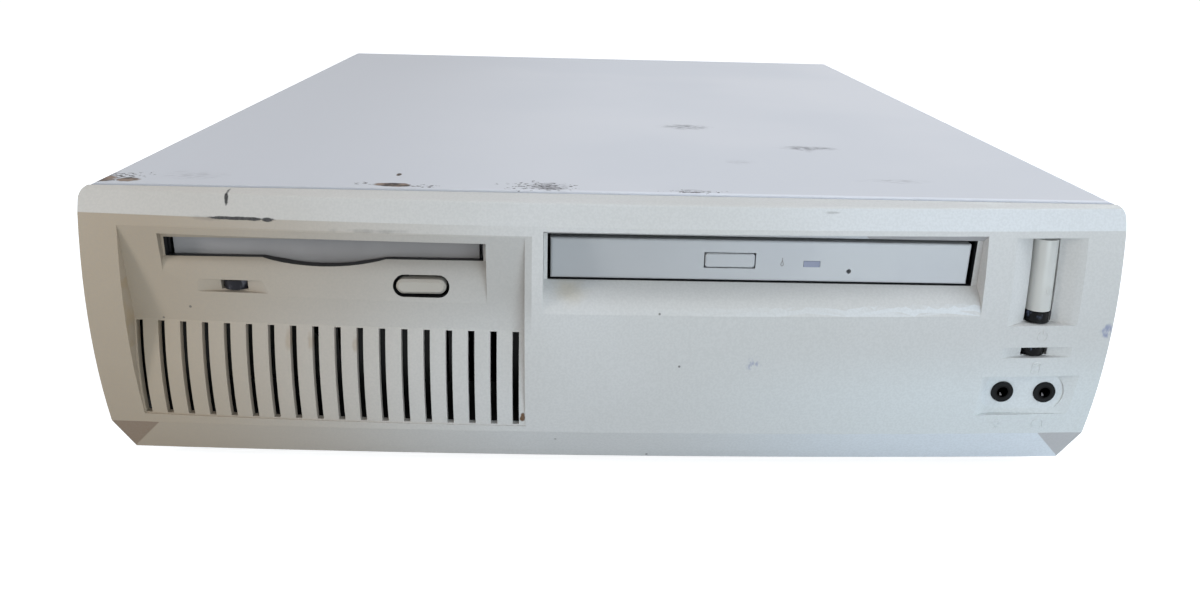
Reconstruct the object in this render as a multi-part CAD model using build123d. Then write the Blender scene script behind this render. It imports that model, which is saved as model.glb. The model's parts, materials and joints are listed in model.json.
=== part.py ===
"""Small flat desktop computer of about the year 2000, in millimetres.

+X is right seen from the front, +Y is to the rear, +Z is up.
The origin is on the floor, under the middle of the case.
"""

import os
from math import cos, radians, sin

from build123d import *

# Whole case
overall_width = 314.7
overall_depth = 377.2
overall_height = 93.7
foot_height = 4.0

# One step across, back and up: a thousandth of the case's width, depth and height.
# Places and sizes that follow the case are counted in these steps
steps = 1000
across = overall_width / steps
back = overall_depth / steps
up = overall_height / steps

# Sheet, walls, clearances and cuts that many pieces share
steel = 1.0
thin_steel = 0.7
plastic_wall = 2.4
board_thickness = 1.6
slide_gap = 0.4
seat_gap = 0.3
button_gap = 0.35
overrun = 5.0
edge_round = 0.8

# Top cover
cover_inset = 0.85
cover_corner_radius = 4.5
cover_skirt_height = 16.5
cover_hem = 2.2
cover_seam = 0.5
cover_tab_width = 14.0
cover_tab_drop = 13.0
cover_tab_spread = 749.9 * across
rear_overhang = 7.0

# Captive thumbscrews of the cover
thumbscrew_head_radius = 5.0
thumbscrew_head_length = 4.2
thumbscrew_shank_radius = 1.7
thumbscrew_shank_length = 7.0
thumbscrew_grips = 12

# Front bezel: how far each line of its profile stands ahead of the cover's front edge,
# in the middle and at the two ends, and how high the line is
brow_reach_mid = 8.5
brow_reach_end = 1.6
brow_drop = 1.4
crease_reach_mid = 11.2
crease_reach_end = 4.1
crease_height = 915.7 * up
belly_reach_mid = 14.7
belly_reach_end = 7.8
belly_height = 555.0 * up
chin_reach_mid = 10.5
chin_reach_end = 3.4
chin_height_mid = 18.3
chin_height_end = 16.8
toe_reach_mid = 1.6
toe_reach_end = -1.5
toe_height = 5.0
bezel_top_drop = 0.5
bezel_rim_depth = 7.0
bezel_rim_drop = 2.1
clip_width = 10.0
clip_spread = 635.5 * across
bezel_corner_inset = 4.3
facet_run = 16.2
profile_round = 0.9

# Scooped panel on the left of the bezel, with the grille in its lower half
panel_left = -463.0 * across
panel_right = -79.8 * across
panel_top = 880.5 * up
grille_top = 555.0 * up
grille_bottom = 217.7 * up
panel_depth = 6.0
panel_foot_depth = 0.4
ramp_fall_share = 0.6
ramp_end_share = 0.13
blend_lift = 0.2
scoop_ease_share = 0.16
grille_crown = 1.6
slot_count = 18
slot_width = 6.5 * across
slot_pitch = 21.7 * across
slot_first_left = -461.4 * across
slot_margin = 0.5

# Floppy drive and its mouth in the panel
floppy_center_x = -272.6 * across
floppy_width = 322.8 * across
floppy_height = 271.1 * up
floppy_length = 387.1 * back
floppy_top = 875.1 * up
floppy_face_reach = 0.6
mouth_left = -423.9 * across
mouth_right = -121.1 * across
mouth_bottom = 774.8 * up
mouth_top = 837.8 * up
mouth_reach = 3.7
mouth_pocket_left = -426.1 * across
mouth_pocket_right = -116.6 * across
mouth_pocket_top = 857.0 * up
mouth_ramp_bottom = 631.8 * up
notch_center_x = -273.3 * across
notch_width = 117.6 * across
notch_drop = 2.0
disk_width = 288.5 * across
disk_slot_height = 49.1 * up
disk_slot_depth = 96.0
flap_thickness = 1.2
flap_half_width = 146.8 * across
flap_tip_gap = 0.3
flap_dip = 0.6
flap_axis_height = 843.1 * up
flap_ceiling_gap = 1.3
flap_setback = 0.3
flap_cheek = 0.8
flap_pin_radius = 0.6
flap_pin_length = 1.6
pin_fit = 0.06
flap_room = 10.8
eject_center_x = -179.5 * across
eject_center_z = 700.1 * up
eject_hole_width = 17.0
eject_hole_height = 6.6
eject_rim = 1.0
eject_proud = -0.4
eject_shank_width = 9.0
eject_shank_height = 3.0
eject_travel = 4.0
disk_lens_x = -360.3 * across
disk_lens_z = 683.0 * up
disk_lens_width = 8.2
disk_lens_height = 3.0
disk_scoop_width = 24.0
disk_scoop_height = 4.0
disk_scoop_depth = 2.2

# Slim optical drive and its recess in the bezel
optical_center_x = 146.8 * across
optical_bottom = 727.9 * up
optical_width = 406.7 * across
optical_height = 135.5 * up
optical_length = 334.0 * back
optical_reach = 5.2
tray_front_thickness = 4.6
recess_left = -62.9 * across
recess_right = 361.6 * across
recess_top = 900.7 * up
recess_ramp_bottom = 625.4 * up
window_left = -59.4 * across
window_right = 355.9 * across
window_bottom = 720.4 * up
window_top = 875.1 * up
window_reach = 4.6
tray_headroom = 3.2
tray_shortfall = 4.0
tray_floor = 1.2
disc_share = 0.4821
disc_well_depth = 1.9
disc_margin = 2.2
bay_width = 40.0
bay_front_wall = 3.0
bay_rear_reach = 14.0
turntable_radius = 12.0
turntable_thickness = 2.0
hub_radius = 7.4
hub_height = 2.0
motor_radius = 11.0
spindle_shaft_radius = 1.5
sled_width = 36.0
sled_length = 14.0
sled_height = 4.2
sled_lens_radius = 2.6
sled_lens_height = 1.0
rod_radius = 1.1
rod_spread = 28.0
rod_fit = 0.05
optical_button_x = 116.6 * across
optical_button_z = 796.2 * up
optical_button_width = 15.1
optical_button_height = 4.3
optical_button_length = 3.2
optical_button_proud = 0.3
optical_lens_x = 196.4 * across
optical_lens_z = 788.7 * up
optical_lens_width = 5.2
optical_lens_height = 2.0
pinhole_x = 233.2 * across
pinhole_z = 765.2 * up
pinhole_radius = 0.75

# Column of controls on the right of the bezel
column_x = 425.8 * across
power_scoop_width = 24.6
power_scoop_bottom = 604.1 * up
power_scoop_top = 894.3 * up
power_scoop_depth = 5.0
power_button_width = 8.0
power_button_bottom = 646.7 * up
power_button_top = 883.7 * up
power_button_inset = 1.0
power_button_back = -1.6
power_flange = 1.2
power_flange_margin = 1.1
power_stem_radius = 2.0
power_stem_length = 3.0
power_switch_reach = -5.2
power_switch_size = 10.0
power_switch_length = 3.8
power_switch_wall = 0.6
power_lens_bottom = 608.3 * up
drive_scoop_bottom = 488.8 * up
drive_scoop_top = 527.2 * up
drive_scoop_depth = 2.6
drive_lens_z = 506.9 * up
drive_lens_width = 8.6
drive_lens_height = 2.8
lens_fit = 0.12
lens_inset = 0.9
switch_board_half = 11.0
switch_board_bottom = 469.6 * up
switch_board_top = 917.8 * up
boss_radius = 1.6
boss_spread = 16.0
boss_height = 565.6 * up
pad_width = 82.6 * across
pad_flat = 57.2 * across
pad_bottom = 264.7 * up
pad_top = 418.4 * up
pad_depth = 2.6
pad_flare = 3.8
jack_spread = 43.5 * across
jack_height = 344.7 * up
jack_ring_radius = 3.45
jack_bore_radius = 1.8
jack_bore_length = 14.5
jack_ring_fit = 0.1
jack_ring_proud = 0.6
audio_board_half = 49.3 * across
audio_board_length = 15.0
jack_body_width = 11.0
jack_body_length = 13.0
jack_body_height = 11.0

# Base pan, rear panel and drive cage
pan_inset = 2.9
pan_floor_bottom = 4.0
pan_side_height = 320.2 * up
pan_front_setback = 11.5
pan_front_gap = 1.7
pan_front_flange = 8.0
pan_bend = 2.0
vent_hole_width = 4.0
vent_hole_height = 234.8 * up
vent_hole_pitch = 8.0
vent_hole_count = 13
rear_panel_return = 9.0
rear_panel_top_gap = 1.2
cage_back_margin = 8.0
cage_leg_margin = 4.0
cage_wall_gap = 0.5
cage_foot = 8.0

# Rubber feet
foot_radius = 9.0
foot_taper = 1.5
foot_spread_x = 794.4 * across
foot_spread_y = 768.8 * back

# Hard drive and speaker
hard_drive_width = 322.8 * across
hard_drive_length = 389.7 * back
hard_drive_height = 271.1 * up
hard_drive_setback = 9.0
hard_drive_chamfer = 3.0
hard_drive_lid_margin = 4.0
hard_drive_lid_depth = 0.8
hard_drive_plug_width = 171.6 * across
hard_drive_plug_height = 8.0
speaker_x = -355.9 * across
speaker_height = 309.5 * up
speaker_radius = 224.1 * up
speaker_depth = 13.0
speaker_cone_radius = 181.4 * up
speaker_cone_depth = 5.0
speaker_cap_radius = 5.0
speaker_basket_radius = 160.1 * up
speaker_magnet_radius = 11.0
speaker_magnet_depth = 5.0

# Main board and what stands on it
board_left = -470.3 * across
board_right = 181.1 * across
board_front_gap = 4.5
board_rear_gap = 2.6
standoff_height = 6.5
standoff_radius = 3.0
standoff_inset = 8.0
socket_size = 49.0
socket_height = 5.0
processor_size = 31.0
processor_height = 2.4
sink_center_x = 76.3 * across
sink_front_gap = 7.0
sink_width_share = 0.1907
sink_depth_share = 0.1591
sink_base = 6.0
sink_height = 362.9 * up
fin_count = 12
fin_thickness = 1.2
cooler_fan_depth = 12.0
memory_left = -467.1 * across
memory_length = 438.5 * across
memory_header_gap = 12.0
memory_pitch = 12.0
memory_socket_width = 7.0
memory_socket_height = 10.0
memory_module_length = 413.1 * across
memory_module_height = 31.0
memory_module_thickness = 1.3
memory_seat = 4.0
memory_chip_count = 8
memory_chip_width = 9.0
memory_chip_height = 16.0
memory_chip_thickness = 1.1
memory_latch_width = 4.0
memory_latch_height = 17.0
riser_x = -50.8 * across
riser_length = 217.4 * back
riser_rear_gap = 4.6
riser_height = 725.7 * up
riser_socket_width = 9.0
riser_socket_height = 9.0
card_slot_margin = 4.0
card_slot_height = 9.0
card_slot_reach = 12.0
card_slot_groove = 1.8
card_slot_clear = 0.8
card_slot_pitch = 224.1 * up
header_width = 171.6 * across
header_depth = 8.0
header_height = 9.0
disk_header_gap = 14.5
hard_header_gap = 13.4
header_pitch = 11.0
header_x = 82.6 * across
power_socket_x = 139.8 * across
power_socket_share = 0.68
power_socket_width = 9.6
power_socket_height = 12.0
chip_height = 2.6
bridge_chip_size = 35.0
bridge_chip_x = -197.0 * across
bridge_chip_y = 153.8 * back
control_chip_size = 27.0
control_chip_x = -235.1 * across
control_chip_y = 323.4 * back
io_chip_size = 20.0
io_chip_x = -375.0 * across
io_chip_y = 243.9 * back
capacitor_radius = 4.0
capacitor_height = 11.0
capacitor_count = 4
capacitor_pitch = 35.0 * across
capacitor_x = -12.7 * across
capacitor_sink_gap = 11.0
battery_x = -387.7 * across
battery_y = 137.9 * back
battery_radius = 10.0
battery_thickness = 3.2
battery_holder_wall = 1.6
battery_holder_height = 5.0

# Ribbons and the board power lead
ribbon_thickness = 1.0
ribbon_bend = 8.0
disk_ribbon_width = 139.8 * across
drive_ribbon_width = 162.1 * across
ribbon_plug_depth = 7.0
ribbon_plug_height = 6.0
ribbon_plug_width = 177.9 * across
disk_plug_height = 651.0 * up
hard_plug_height = 506.9 * up
lead_radius = 4.5
lead_wires = 8
lead_bend_share = 0.45
lead_run = 24.0
lead_exit_drop = 8.0

# Power supply
supply_left = 197.0 * across
supply_length = 356.8 * back
supply_screw_gap = 3.0
supply_fan_z = 490.9 * up
supply_fan_share = 0.79
supply_fan_gap = 2.2
supply_fan_depth = 15.0
supply_side_gap = 1.2
supply_slot_count = 9
supply_slot_width = 3.0
supply_slot_pitch = 8.0
supply_slot_margin = 14.0
fan_rim = 2.0
fan_hub_share = 0.4
fan_tip_gap = 1.2
fan_blades = 7
fan_blade_thickness = 1.3
fan_blade_pitch = 40.0
fan_blade_share = 0.88
fan_shaft_radius = 1.6
fan_strut = 3.0
fan_seat_depth = 2.4
guard_wire = 1.4
guard_rings = 3
inlet_z = 330.8 * up
inlet_width = 20.0
inlet_height = 27.0
inlet_flange = 2.0
inlet_flange_depth = 1.5
inlet_depth = 20.0
inlet_wall = 1.8
inlet_corner = 4.0
inlet_pin_width = 2.0
inlet_pin_height = 4.0
inlet_pin_spread = 7.0
inlet_pin_tip = 3.0
selector_top_gap = 2.0
selector_width = 12.0
selector_height = 20.0
selector_depth = 9.0
selector_pocket_depth = 4.0
selector_slider_width = 7.0
selector_slider_height = 9.0
selector_travel = 6.0

# Rear sockets and blank slot covers
port_body_depth = 14.0
port_proud = 4.4
port_lip = 0.8
dsub_height = 12.5
dsub_shell_height = 8.4
dsub_slope = 10.0
dsub_shell_wall = 0.8
dsub_recess = 0.8
dsub_corner = 1.6
dsub_post_radius = 2.6
small_dsub_width = 98.5 * across
small_dsub_shell = 54.0 * across
wide_dsub_width = 168.4 * across
wide_dsub_shell = 123.9 * across
serial_x = -47.7 * across
parallel_x = -185.9 * across
video_x = -324.1 * across
keyboard_x = 149.3 * across
keyboard_width = 44.5 * across
keyboard_height = 13.5
keyboard_socket_radius = 4.6
keyboard_socket_depth = 8.0
usb_x = 98.5 * across
usb_width = 45.8 * across
usb_height = 15.6
usb_opening_width = 38.8 * across
usb_opening_height = 5.0
usb_opening_depth = 12.0
usb_opening_pitch = 7.4
usb_tongue_height = 1.6
usb_tongue_width = 35.0 * across
usb_tongue_setback = 1.5
network_x = 38.1 * across
network_width = 50.8 * across
network_height = 13.6
network_opening_width = 37.5 * across
network_opening_height = 8.0
network_opening_depth = 12.0
network_latch_width = 6.0
network_latch_height = 2.0
sound_x = -419.4 * across
sound_pitch = 44.5 * across
sound_width = 38.1 * across
sound_height = 12.0
cover_plate_left = -444.9 * across
cover_plate_right = -76.3 * across
cover_plate_height = 196.4 * up
cover_plate_opening_margin = 3.0
cover_plate_tab = 10.0

# Places worked out from the sizes above
half_width = overall_width / 2
rear_y = overall_depth / 2
cover_front_y = belly_reach_mid - rear_y
cover_half = half_width - cover_inset
cover_inner_half = cover_half - steel
cover_inner_top = overall_height - steel
rim_half = cover_inner_half - slide_gap
rim_top = overall_height - bezel_rim_drop
bezel_back_y = cover_front_y + bezel_rim_depth
switch_board_y = cover_front_y - power_switch_reach + power_switch_length
pan_front_height = cover_inner_top - pan_front_gap


def ahead(reach):
    """Depth of a line that stands this far ahead of the cover's front edge."""
    return cover_front_y - reach


def block(x0, x1, y0, y1, z0, z1):
    """Box between its six faces."""
    return Pos((x0 + x1) / 2, (y0 + y1) / 2, (z0 + z1) / 2) * Box(x1 - x0, y1 - y0, z1 - z0)


def side_plane(x):
    """Plane across the width at x, drawn in depth and height."""
    return Plane(origin=(x, 0, 0), x_dir=(0, 1, 0), z_dir=(1, 0, 0))


def front_plane(y):
    """Plane across the depth at y, drawn in width and height, facing the front."""
    return Plane(origin=(0, y, 0), x_dir=(1, 0, 0), z_dir=(0, -1, 0))


def along_y(sketch, y0, y1):
    """Drawing in width and height, carried from depth y0 back to y1."""
    return extrude(front_plane(y1) * sketch, y1 - y0)


def along_x(sketch, x0, x1):
    """Drawing in depth and height, carried from x0 across to x1."""
    return extrude(side_plane(x0) * sketch, x1 - x0)


def polygon(points):
    """Closed face on straight edges."""
    return make_face(Polyline(*points, close=True))


def rod_y(x, z, radius, y0, y1):
    """Round bar along the depth."""
    return along_y(Pos(x, z) * Circle(radius), y0, y1)


def rod_z(x, y, radius, z0, z1):
    """Round bar along the height."""
    return Pos(x, y, z0) * extrude(Circle(radius), z1 - z0)


def scoop_radius(width, depth):
    """Radius of a round scoop of this width and depth."""
    return (width * width / 4 + depth * depth) / (2 * depth)


def bowed(mid, end, x):
    """Value at x of a line that bows from the middle to the two ends."""
    return mid + (end - mid) * (x / half_width) ** 2


def lens_span(x, width, z, height):
    """Left, right, bottom and top of a lens from its middle and size."""
    return x - width / 2, x + width / 2, z - height / 2, z + height / 2


# Front bezel
def face_reach(x, z):
    """How far the convex front face stands ahead of the cover's edge at x and z."""
    low = Vector(bowed(chin_reach_mid, chin_reach_end, x), bowed(chin_height_mid, chin_height_end, x))
    mid = Vector(bowed(belly_reach_mid, belly_reach_end, x), belly_height)
    top = Vector(bowed(crease_reach_mid, crease_reach_end, x), crease_height)
    arc = ThreePointArc(low, mid, top)
    center = arc.arc_center
    return center.X + (arc.radius**2 - (z - center.Y) ** 2) ** 0.5


def bezel_section(x, wall):
    """Side profile of the bezel at x, or of its hollow where a wall is given."""
    inset = wall / 2
    back = -bezel_rim_depth - (overrun if wall else 0)
    brow = bowed(brow_reach_mid, brow_reach_end, x) - wall
    crease = bowed(crease_reach_mid, crease_reach_end, x) - wall
    belly = bowed(belly_reach_mid, belly_reach_end, x) - wall
    chin = bowed(chin_reach_mid, chin_reach_end, x) - wall
    chin_z = bowed(chin_height_mid, chin_height_end, x) + inset
    toe = bowed(toe_reach_mid, toe_reach_end, x) - inset
    chin_at = (ahead(chin), chin_z)
    crease_at = (ahead(crease), crease_height - inset)
    brow_z = rim_top - wall if wall else overall_height - brow_drop
    brow_at = (ahead(brow), brow_z)
    top = [brow_at, (ahead(back), brow_z)]
    if not wall:
        lip_z = overall_height - bezel_top_drop
        seam = ahead(cover_seam)
        top = [brow_at, (seam, lip_z), (seam, rim_top), (ahead(back), rim_top)]
    toe_at = (ahead(toe), toe_height + wall)
    face = ThreePointArc(chin_at, (ahead(belly), belly_height), crease_at)
    rest = Polyline(crease_at, *top, (ahead(back), toe_height + wall), toe_at, chin_at)
    section = make_face([face, *rest.edges()])
    if not wall:
        corners = [chin_at, crease_at, brow_at, toe_at]
        picked = [section.vertices().sort_by_distance((y, z, 0))[0] for y, z in corners]
        section = fillet(picked, profile_round)
    return side_plane(x) * section


def panel_floor(x, z):
    """Reach of the flat upper part of the scooped panel."""
    top = face_reach(x, panel_top)
    low = face_reach(x, grille_top) - panel_depth
    return top + (low - top) * (panel_top - z) / (panel_top - grille_top)


def panel_section(x, wall):
    """Side profile of the scoop that holds the floppy mouth and the grille."""
    out = ahead(belly_reach_mid + overrun)
    top_at = (ahead(face_reach(x, panel_top) - wall), panel_top)
    fold_at = (ahead(panel_floor(x, grille_top) - wall), grille_top)
    foot = face_reach(x, grille_bottom) - panel_foot_depth - wall
    foot_at = (ahead(foot), grille_bottom - wall)
    middle = (panel_floor(x, grille_top) - wall + foot) / 2 + grille_crown
    grille = ThreePointArc(foot_at, (ahead(middle), (grille_top + grille_bottom) / 2), fold_at)
    rest = Polyline(fold_at, top_at, (out, panel_top), (out, grille_bottom - wall), foot_at)
    return side_plane(x) * make_face([grille, *rest.edges()])


def panel_scoop(wall):
    left = panel_left - wall
    right = panel_right + wall
    stations = (left, (left + right) / 2, right)
    return loft([panel_section(x, wall) for x in stations])


def mouth_section(x, wall):
    """Side profile of the pocket and ramp in front of the floppy mouth."""
    out = ahead(belly_reach_mid + overrun)
    top_z = mouth_pocket_top + wall
    lift = 0 if wall else blend_lift
    low_at = (ahead(panel_floor(x, mouth_ramp_bottom) - wall + lift), mouth_ramp_bottom)
    seat = ahead(mouth_reach - wall)
    seat_at = (seat, mouth_bottom - wall / 2)
    ramp = Spline(seat_at, low_at, tangents=((-1, -ramp_fall_share), (0, -1)))
    rest = Polyline(low_at, (out, mouth_ramp_bottom), (out, top_z), (seat, top_z), seat_at)
    return side_plane(x) * make_face([ramp, *rest.edges()])


def mouth_pocket(wall):
    left = mouth_pocket_left - wall
    right = mouth_pocket_right + wall
    return loft([mouth_section(x, wall) for x in (left, (left + right) / 2, right)])


def recess_section(x, wall):
    """Side profile of the recess round the optical drive, with its rounded ramp below."""
    out = ahead(belly_reach_mid + overrun)
    seat = ahead(window_reach - wall)
    lip_at = (ahead(face_reach(x, recess_top)), recess_top + wall)
    lift = 0 if wall else blend_lift
    low_at = (ahead(face_reach(x, recess_ramp_bottom) - wall + lift), recess_ramp_bottom)
    seat_at = (seat, window_bottom - wall / 2)
    ramp = Spline(seat_at, low_at, tangents=((-1, -ramp_fall_share), (-ramp_end_share, -1)))
    top = Polyline(low_at, (out, recess_ramp_bottom), (out, recess_top + wall), lip_at)
    back = Polyline(lip_at, (seat, window_top + wall), seat_at)
    return side_plane(x) * make_face([ramp, *top.edges(), *back.edges()])


def optical_recess(wall):
    left = recess_left - wall
    right = recess_right + wall
    return loft([recess_section(x, wall) for x in (left, (left + right) / 2, right)])


def scoop_section(x, z, level, width, flat, floor, wall):
    """Plan of a scoop at one height: a floor that eases up into the surface on both sides."""
    half = width / 2 + wall
    lift = 0 if wall else blend_lift
    left_at = (x - half, ahead(level(x - half, z) - wall + lift))
    right_at = (x + half, ahead(level(x + half, z) - wall + lift))
    lean = (right_at[1] - left_at[1]) / (2 * half)
    floor_y = ahead(floor - wall)
    out = ahead(belly_reach_mid + overrun)
    if flat:
        inner = [(x - flat / 2, floor_y), (x + flat / 2, floor_y)]
        bottom = [Line(*inner)]
        along = (1, 0)
    else:
        inner = [(x, floor_y), (x, floor_y)]
        bottom = []
        along = (1, lean)
    down = Spline(left_at, inner[0], tangents=((1, lean + scoop_ease_share), along))
    rise = Spline(inner[1], right_at, tangents=(along, (1, lean - scoop_ease_share)))
    rest = Polyline(right_at, (x + half, out), (x - half, out), left_at)
    return Pos(0, 0, z) * make_face([down, *bottom, rise, *rest.edges()])


def round_scoop(x, z0, z1, level, width, depth, wall):
    """Scoop between two heights whose floor keeps the same depth under the surface."""
    heights = (z0 - wall, (z0 + z1) / 2, z1 + wall)
    return loft([scoop_section(x, z, level, width, 0, level(x, z) - depth, wall) for z in heights])


def power_scoop(wall):
    return round_scoop(
        column_x, power_scoop_bottom, power_scoop_top, face_reach,
        power_scoop_width, power_scoop_depth, wall,
    )


def drive_scoop(wall):
    return round_scoop(
        column_x, drive_scoop_bottom, drive_scoop_top, face_reach,
        power_scoop_width, drive_scoop_depth, wall,
    )


def disk_scoop(wall):
    low = disk_lens_z - disk_scoop_height / 2
    high = disk_lens_z + disk_scoop_height / 2
    return round_scoop(disk_lens_x, low, high, panel_floor, disk_scoop_width, disk_scoop_depth, wall)


pad_height = pad_top - pad_bottom
pad_center_z = (pad_top + pad_bottom) / 2
pad_reach = face_reach(column_x, pad_center_z) - pad_depth


def jack_pad(wall):
    """Flat oval floor for the sound sockets in a wide scoop."""
    width = pad_width + 2 * pad_flare
    heights = (pad_bottom - wall, pad_center_z, pad_top + wall)
    plans = [scoop_section(column_x, z, face_reach, width, pad_flat, pad_reach, wall) for z in heights]
    oval = SlotOverall(pad_width + 2 * wall, pad_height + 2 * wall)
    front = ahead(belly_reach_mid + overrun)
    return loft(plans) + along_y(Pos(column_x, pad_center_z) * oval, front, ahead(pad_reach - wall))


def corner_facet(side):
    """Wedge that cuts the slanted facet off one end of the chin."""
    x_in = half_width - facet_run
    outer = Vector(side * half_width, ahead(chin_reach_end), chin_height_end)
    inner = Vector(
        side * x_in,
        ahead(bowed(chin_reach_mid, chin_reach_end, x_in)),
        bowed(chin_height_mid, chin_height_end, x_in),
    )
    toe = Vector(side * (half_width - bezel_corner_inset), ahead(toe_reach_end), toe_height)
    normal = (inner - outer).cross(toe - outer)
    if normal.Y > 0:
        normal = normal * -1
    size = overall_height
    return Plane(origin=outer, z_dir=normal) * (Pos(0, 0, size / 2) * Box(size, size, size))


def through(x0, x1, z0, z1):
    """Cut that goes right through the bezel from front to back."""
    return block(x0, x1, ahead(belly_reach_mid + overrun), bezel_back_y, z0, z1)


def front_bezel():
    shape = loft([bezel_section(x, 0) for x in (-half_width, 0, half_width)])
    outline = polygon([
        (bezel_corner_inset - half_width, toe_height),
        (half_width - bezel_corner_inset, toe_height),
        (half_width, chin_height_end),
        (half_width, overall_height),
        (-half_width, overall_height),
        (-half_width, chin_height_end),
    ])
    outline = fillet(outline.vertices().sort_by(Axis.Y)[-2:], cover_corner_radius)
    shape &= along_y(outline, ahead(belly_reach_mid + overrun), bezel_back_y)
    rim = polygon([(-rim_half, 0), (rim_half, 0), (rim_half, rim_top), (-rim_half, rim_top)])
    rim = fillet(rim.vertices().sort_by(Axis.Y)[-2:], cover_corner_radius - steel)
    around = Pos(0, overall_height / 2) * Rectangle(overall_width + overrun, overall_height + overrun)
    shape -= along_y(around - rim, ahead(cover_seam), bezel_back_y)
    for side in (-1, 1):
        shape -= corner_facet(side)
    hollow_half = rim_half - plastic_wall
    hollow = loft([bezel_section(x, plastic_wall) for x in (-hollow_half, 0, hollow_half)])
    scoops = (panel_scoop, mouth_pocket, optical_recess, power_scoop, drive_scoop, disk_scoop, jack_pad)
    for scoop in scoops:
        hollow -= scoop(plastic_wall)
    shape -= hollow
    for scoop in scoops:
        shape -= scoop(0)
    for index in range(slot_count):
        left = slot_first_left + index * slot_pitch
        shape -= through(left, left + slot_width, grille_bottom + slot_margin, grille_top - slot_margin)
    shape -= through(mouth_left, mouth_right, mouth_bottom, mouth_top)
    notch_radius = scoop_radius(notch_width, notch_drop)
    notch = rod_y(
        notch_center_x, mouth_bottom - notch_drop + notch_radius, notch_radius,
        ahead(belly_reach_mid), bezel_back_y,
    )
    shape -= notch & through(mouth_left, mouth_right, mouth_bottom - notch_drop, mouth_top)
    eject_hole = Pos(eject_center_x, eject_center_z) * SlotOverall(eject_hole_width, eject_hole_height)
    shape -= along_y(eject_hole, ahead(belly_reach_mid), bezel_back_y)
    shape -= through(window_left, window_right, window_bottom, window_top)
    shape -= through(*lens_span(disk_lens_x, disk_lens_width, disk_lens_z, disk_lens_height))
    shape -= through(
        column_x - power_button_width / 2 - button_gap, column_x + power_button_width / 2 + button_gap,
        power_lens_bottom, power_button_top + button_gap,
    )
    shape -= through(*lens_span(column_x, drive_lens_width, drive_lens_z, drive_lens_height))
    for side in (-1, 1):
        shape -= rod_y(
            column_x + side * jack_spread / 2, jack_height, jack_ring_radius + jack_ring_fit,
            ahead(belly_reach_mid), bezel_back_y,
        )
        boss_x = column_x + side * boss_spread / 2
        boss_root = ahead(face_reach(boss_x, boss_height) - plastic_wall)
        shape += rod_y(boss_x, boss_height, boss_radius, boss_root, switch_board_y)
        clip_x = side * clip_spread / 2
        for low in (toe_height, pan_front_height - plastic_wall):
            shape += block(
                clip_x - clip_width / 2, clip_x + clip_width / 2, bezel_back_y, pan_front_y,
                low, low + plastic_wall,
            )
    return shape


# Top cover and its captive screws
rear_face_y = rear_y - rear_overhang
rear_inner_y = rear_face_y - steel
tab_front_y = rear_face_y + seat_gap
tab_rear_y = tab_front_y + steel
screw_z = overall_height - cover_tab_drop + thumbscrew_head_radius


def hood_outline(half, top, radius):
    """Hood cross-section, open below, with its two upper corners rounded."""
    outline = polygon([
        (-half, cover_skirt_height),
        (half, cover_skirt_height),
        (half, top),
        (-half, top),
    ])
    return fillet(outline.vertices().sort_by(Axis.Y)[-2:], radius)


def top_cover():
    outer = hood_outline(cover_half, overall_height, cover_corner_radius)
    inner = hood_outline(cover_inner_half, cover_inner_top, cover_corner_radius - steel)
    shape = along_y(outer - inner, cover_front_y, rear_y)
    for side in (-1, 1):
        hem = sorted((side * cover_inner_half, side * (cover_inner_half - cover_hem)))
        hem_front = bezel_back_y + slide_gap
        shape += block(*hem, hem_front, rear_y, cover_skirt_height, cover_skirt_height + steel)
        x = side * cover_tab_spread / 2
        half = cover_tab_width / 2
        low = overall_height - cover_tab_drop
        shape += block(x - half, x + half, tab_front_y, tab_rear_y, low, cover_inner_top)
        shape -= rod_y(x, screw_z, thumbscrew_shank_radius, tab_front_y, tab_rear_y)
    return shape


def thumbscrew(x):
    head = RegularPolygon(thumbscrew_head_radius, thumbscrew_grips)
    shape = along_y(Pos(x, screw_z) * head, tab_rear_y, tab_rear_y + thumbscrew_head_length)
    return shape + rod_y(
        x, screw_z, thumbscrew_shank_radius, tab_rear_y - thumbscrew_shank_length, tab_rear_y
    )


def cover_thumbscrews():
    return Compound([thumbscrew(side * cover_tab_spread / 2).solid() for side in (-1, 1)])


# Base pan, rear panel, drive cage and feet
pan_half = cover_inner_half - pan_inset
pan_inner_half = pan_half - steel
floor_z = pan_floor_bottom + steel
pan_front_y = cover_front_y + pan_front_setback
pan_inner_y = pan_front_y + steel
floppy_left = floppy_center_x - floppy_width / 2
floppy_right = floppy_center_x + floppy_width / 2
floppy_bottom = floppy_top - floppy_height
floppy_face_y = ahead(floppy_face_reach)
floppy_rear_y = floppy_face_y + floppy_length
optical_left = optical_center_x - optical_width / 2
optical_right = optical_center_x + optical_width / 2
optical_top = optical_bottom + optical_height
optical_face_y = ahead(optical_reach)
optical_case_y = optical_face_y + tray_front_thickness + seat_gap
optical_rear_y = optical_case_y + optical_length
audio_board_top = jack_height - jack_body_height / 2


def pan_section(half, bottom, radius):
    outline = polygon([
        (-half, bottom),
        (half, bottom),
        (half, pan_side_height),
        (-half, pan_side_height),
    ])
    return fillet(outline.vertices().sort_by(Axis.Y)[:2], radius)


def wall_hole(x0, x1, z0, z1):
    """Cut through the pan's front wall, a little larger than what passes."""
    return block(
        x0 - slide_gap, x1 + slide_gap, pan_front_y - overrun, pan_inner_y + slide_gap,
        z0 - slide_gap, z1 + slide_gap,
    )


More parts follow.
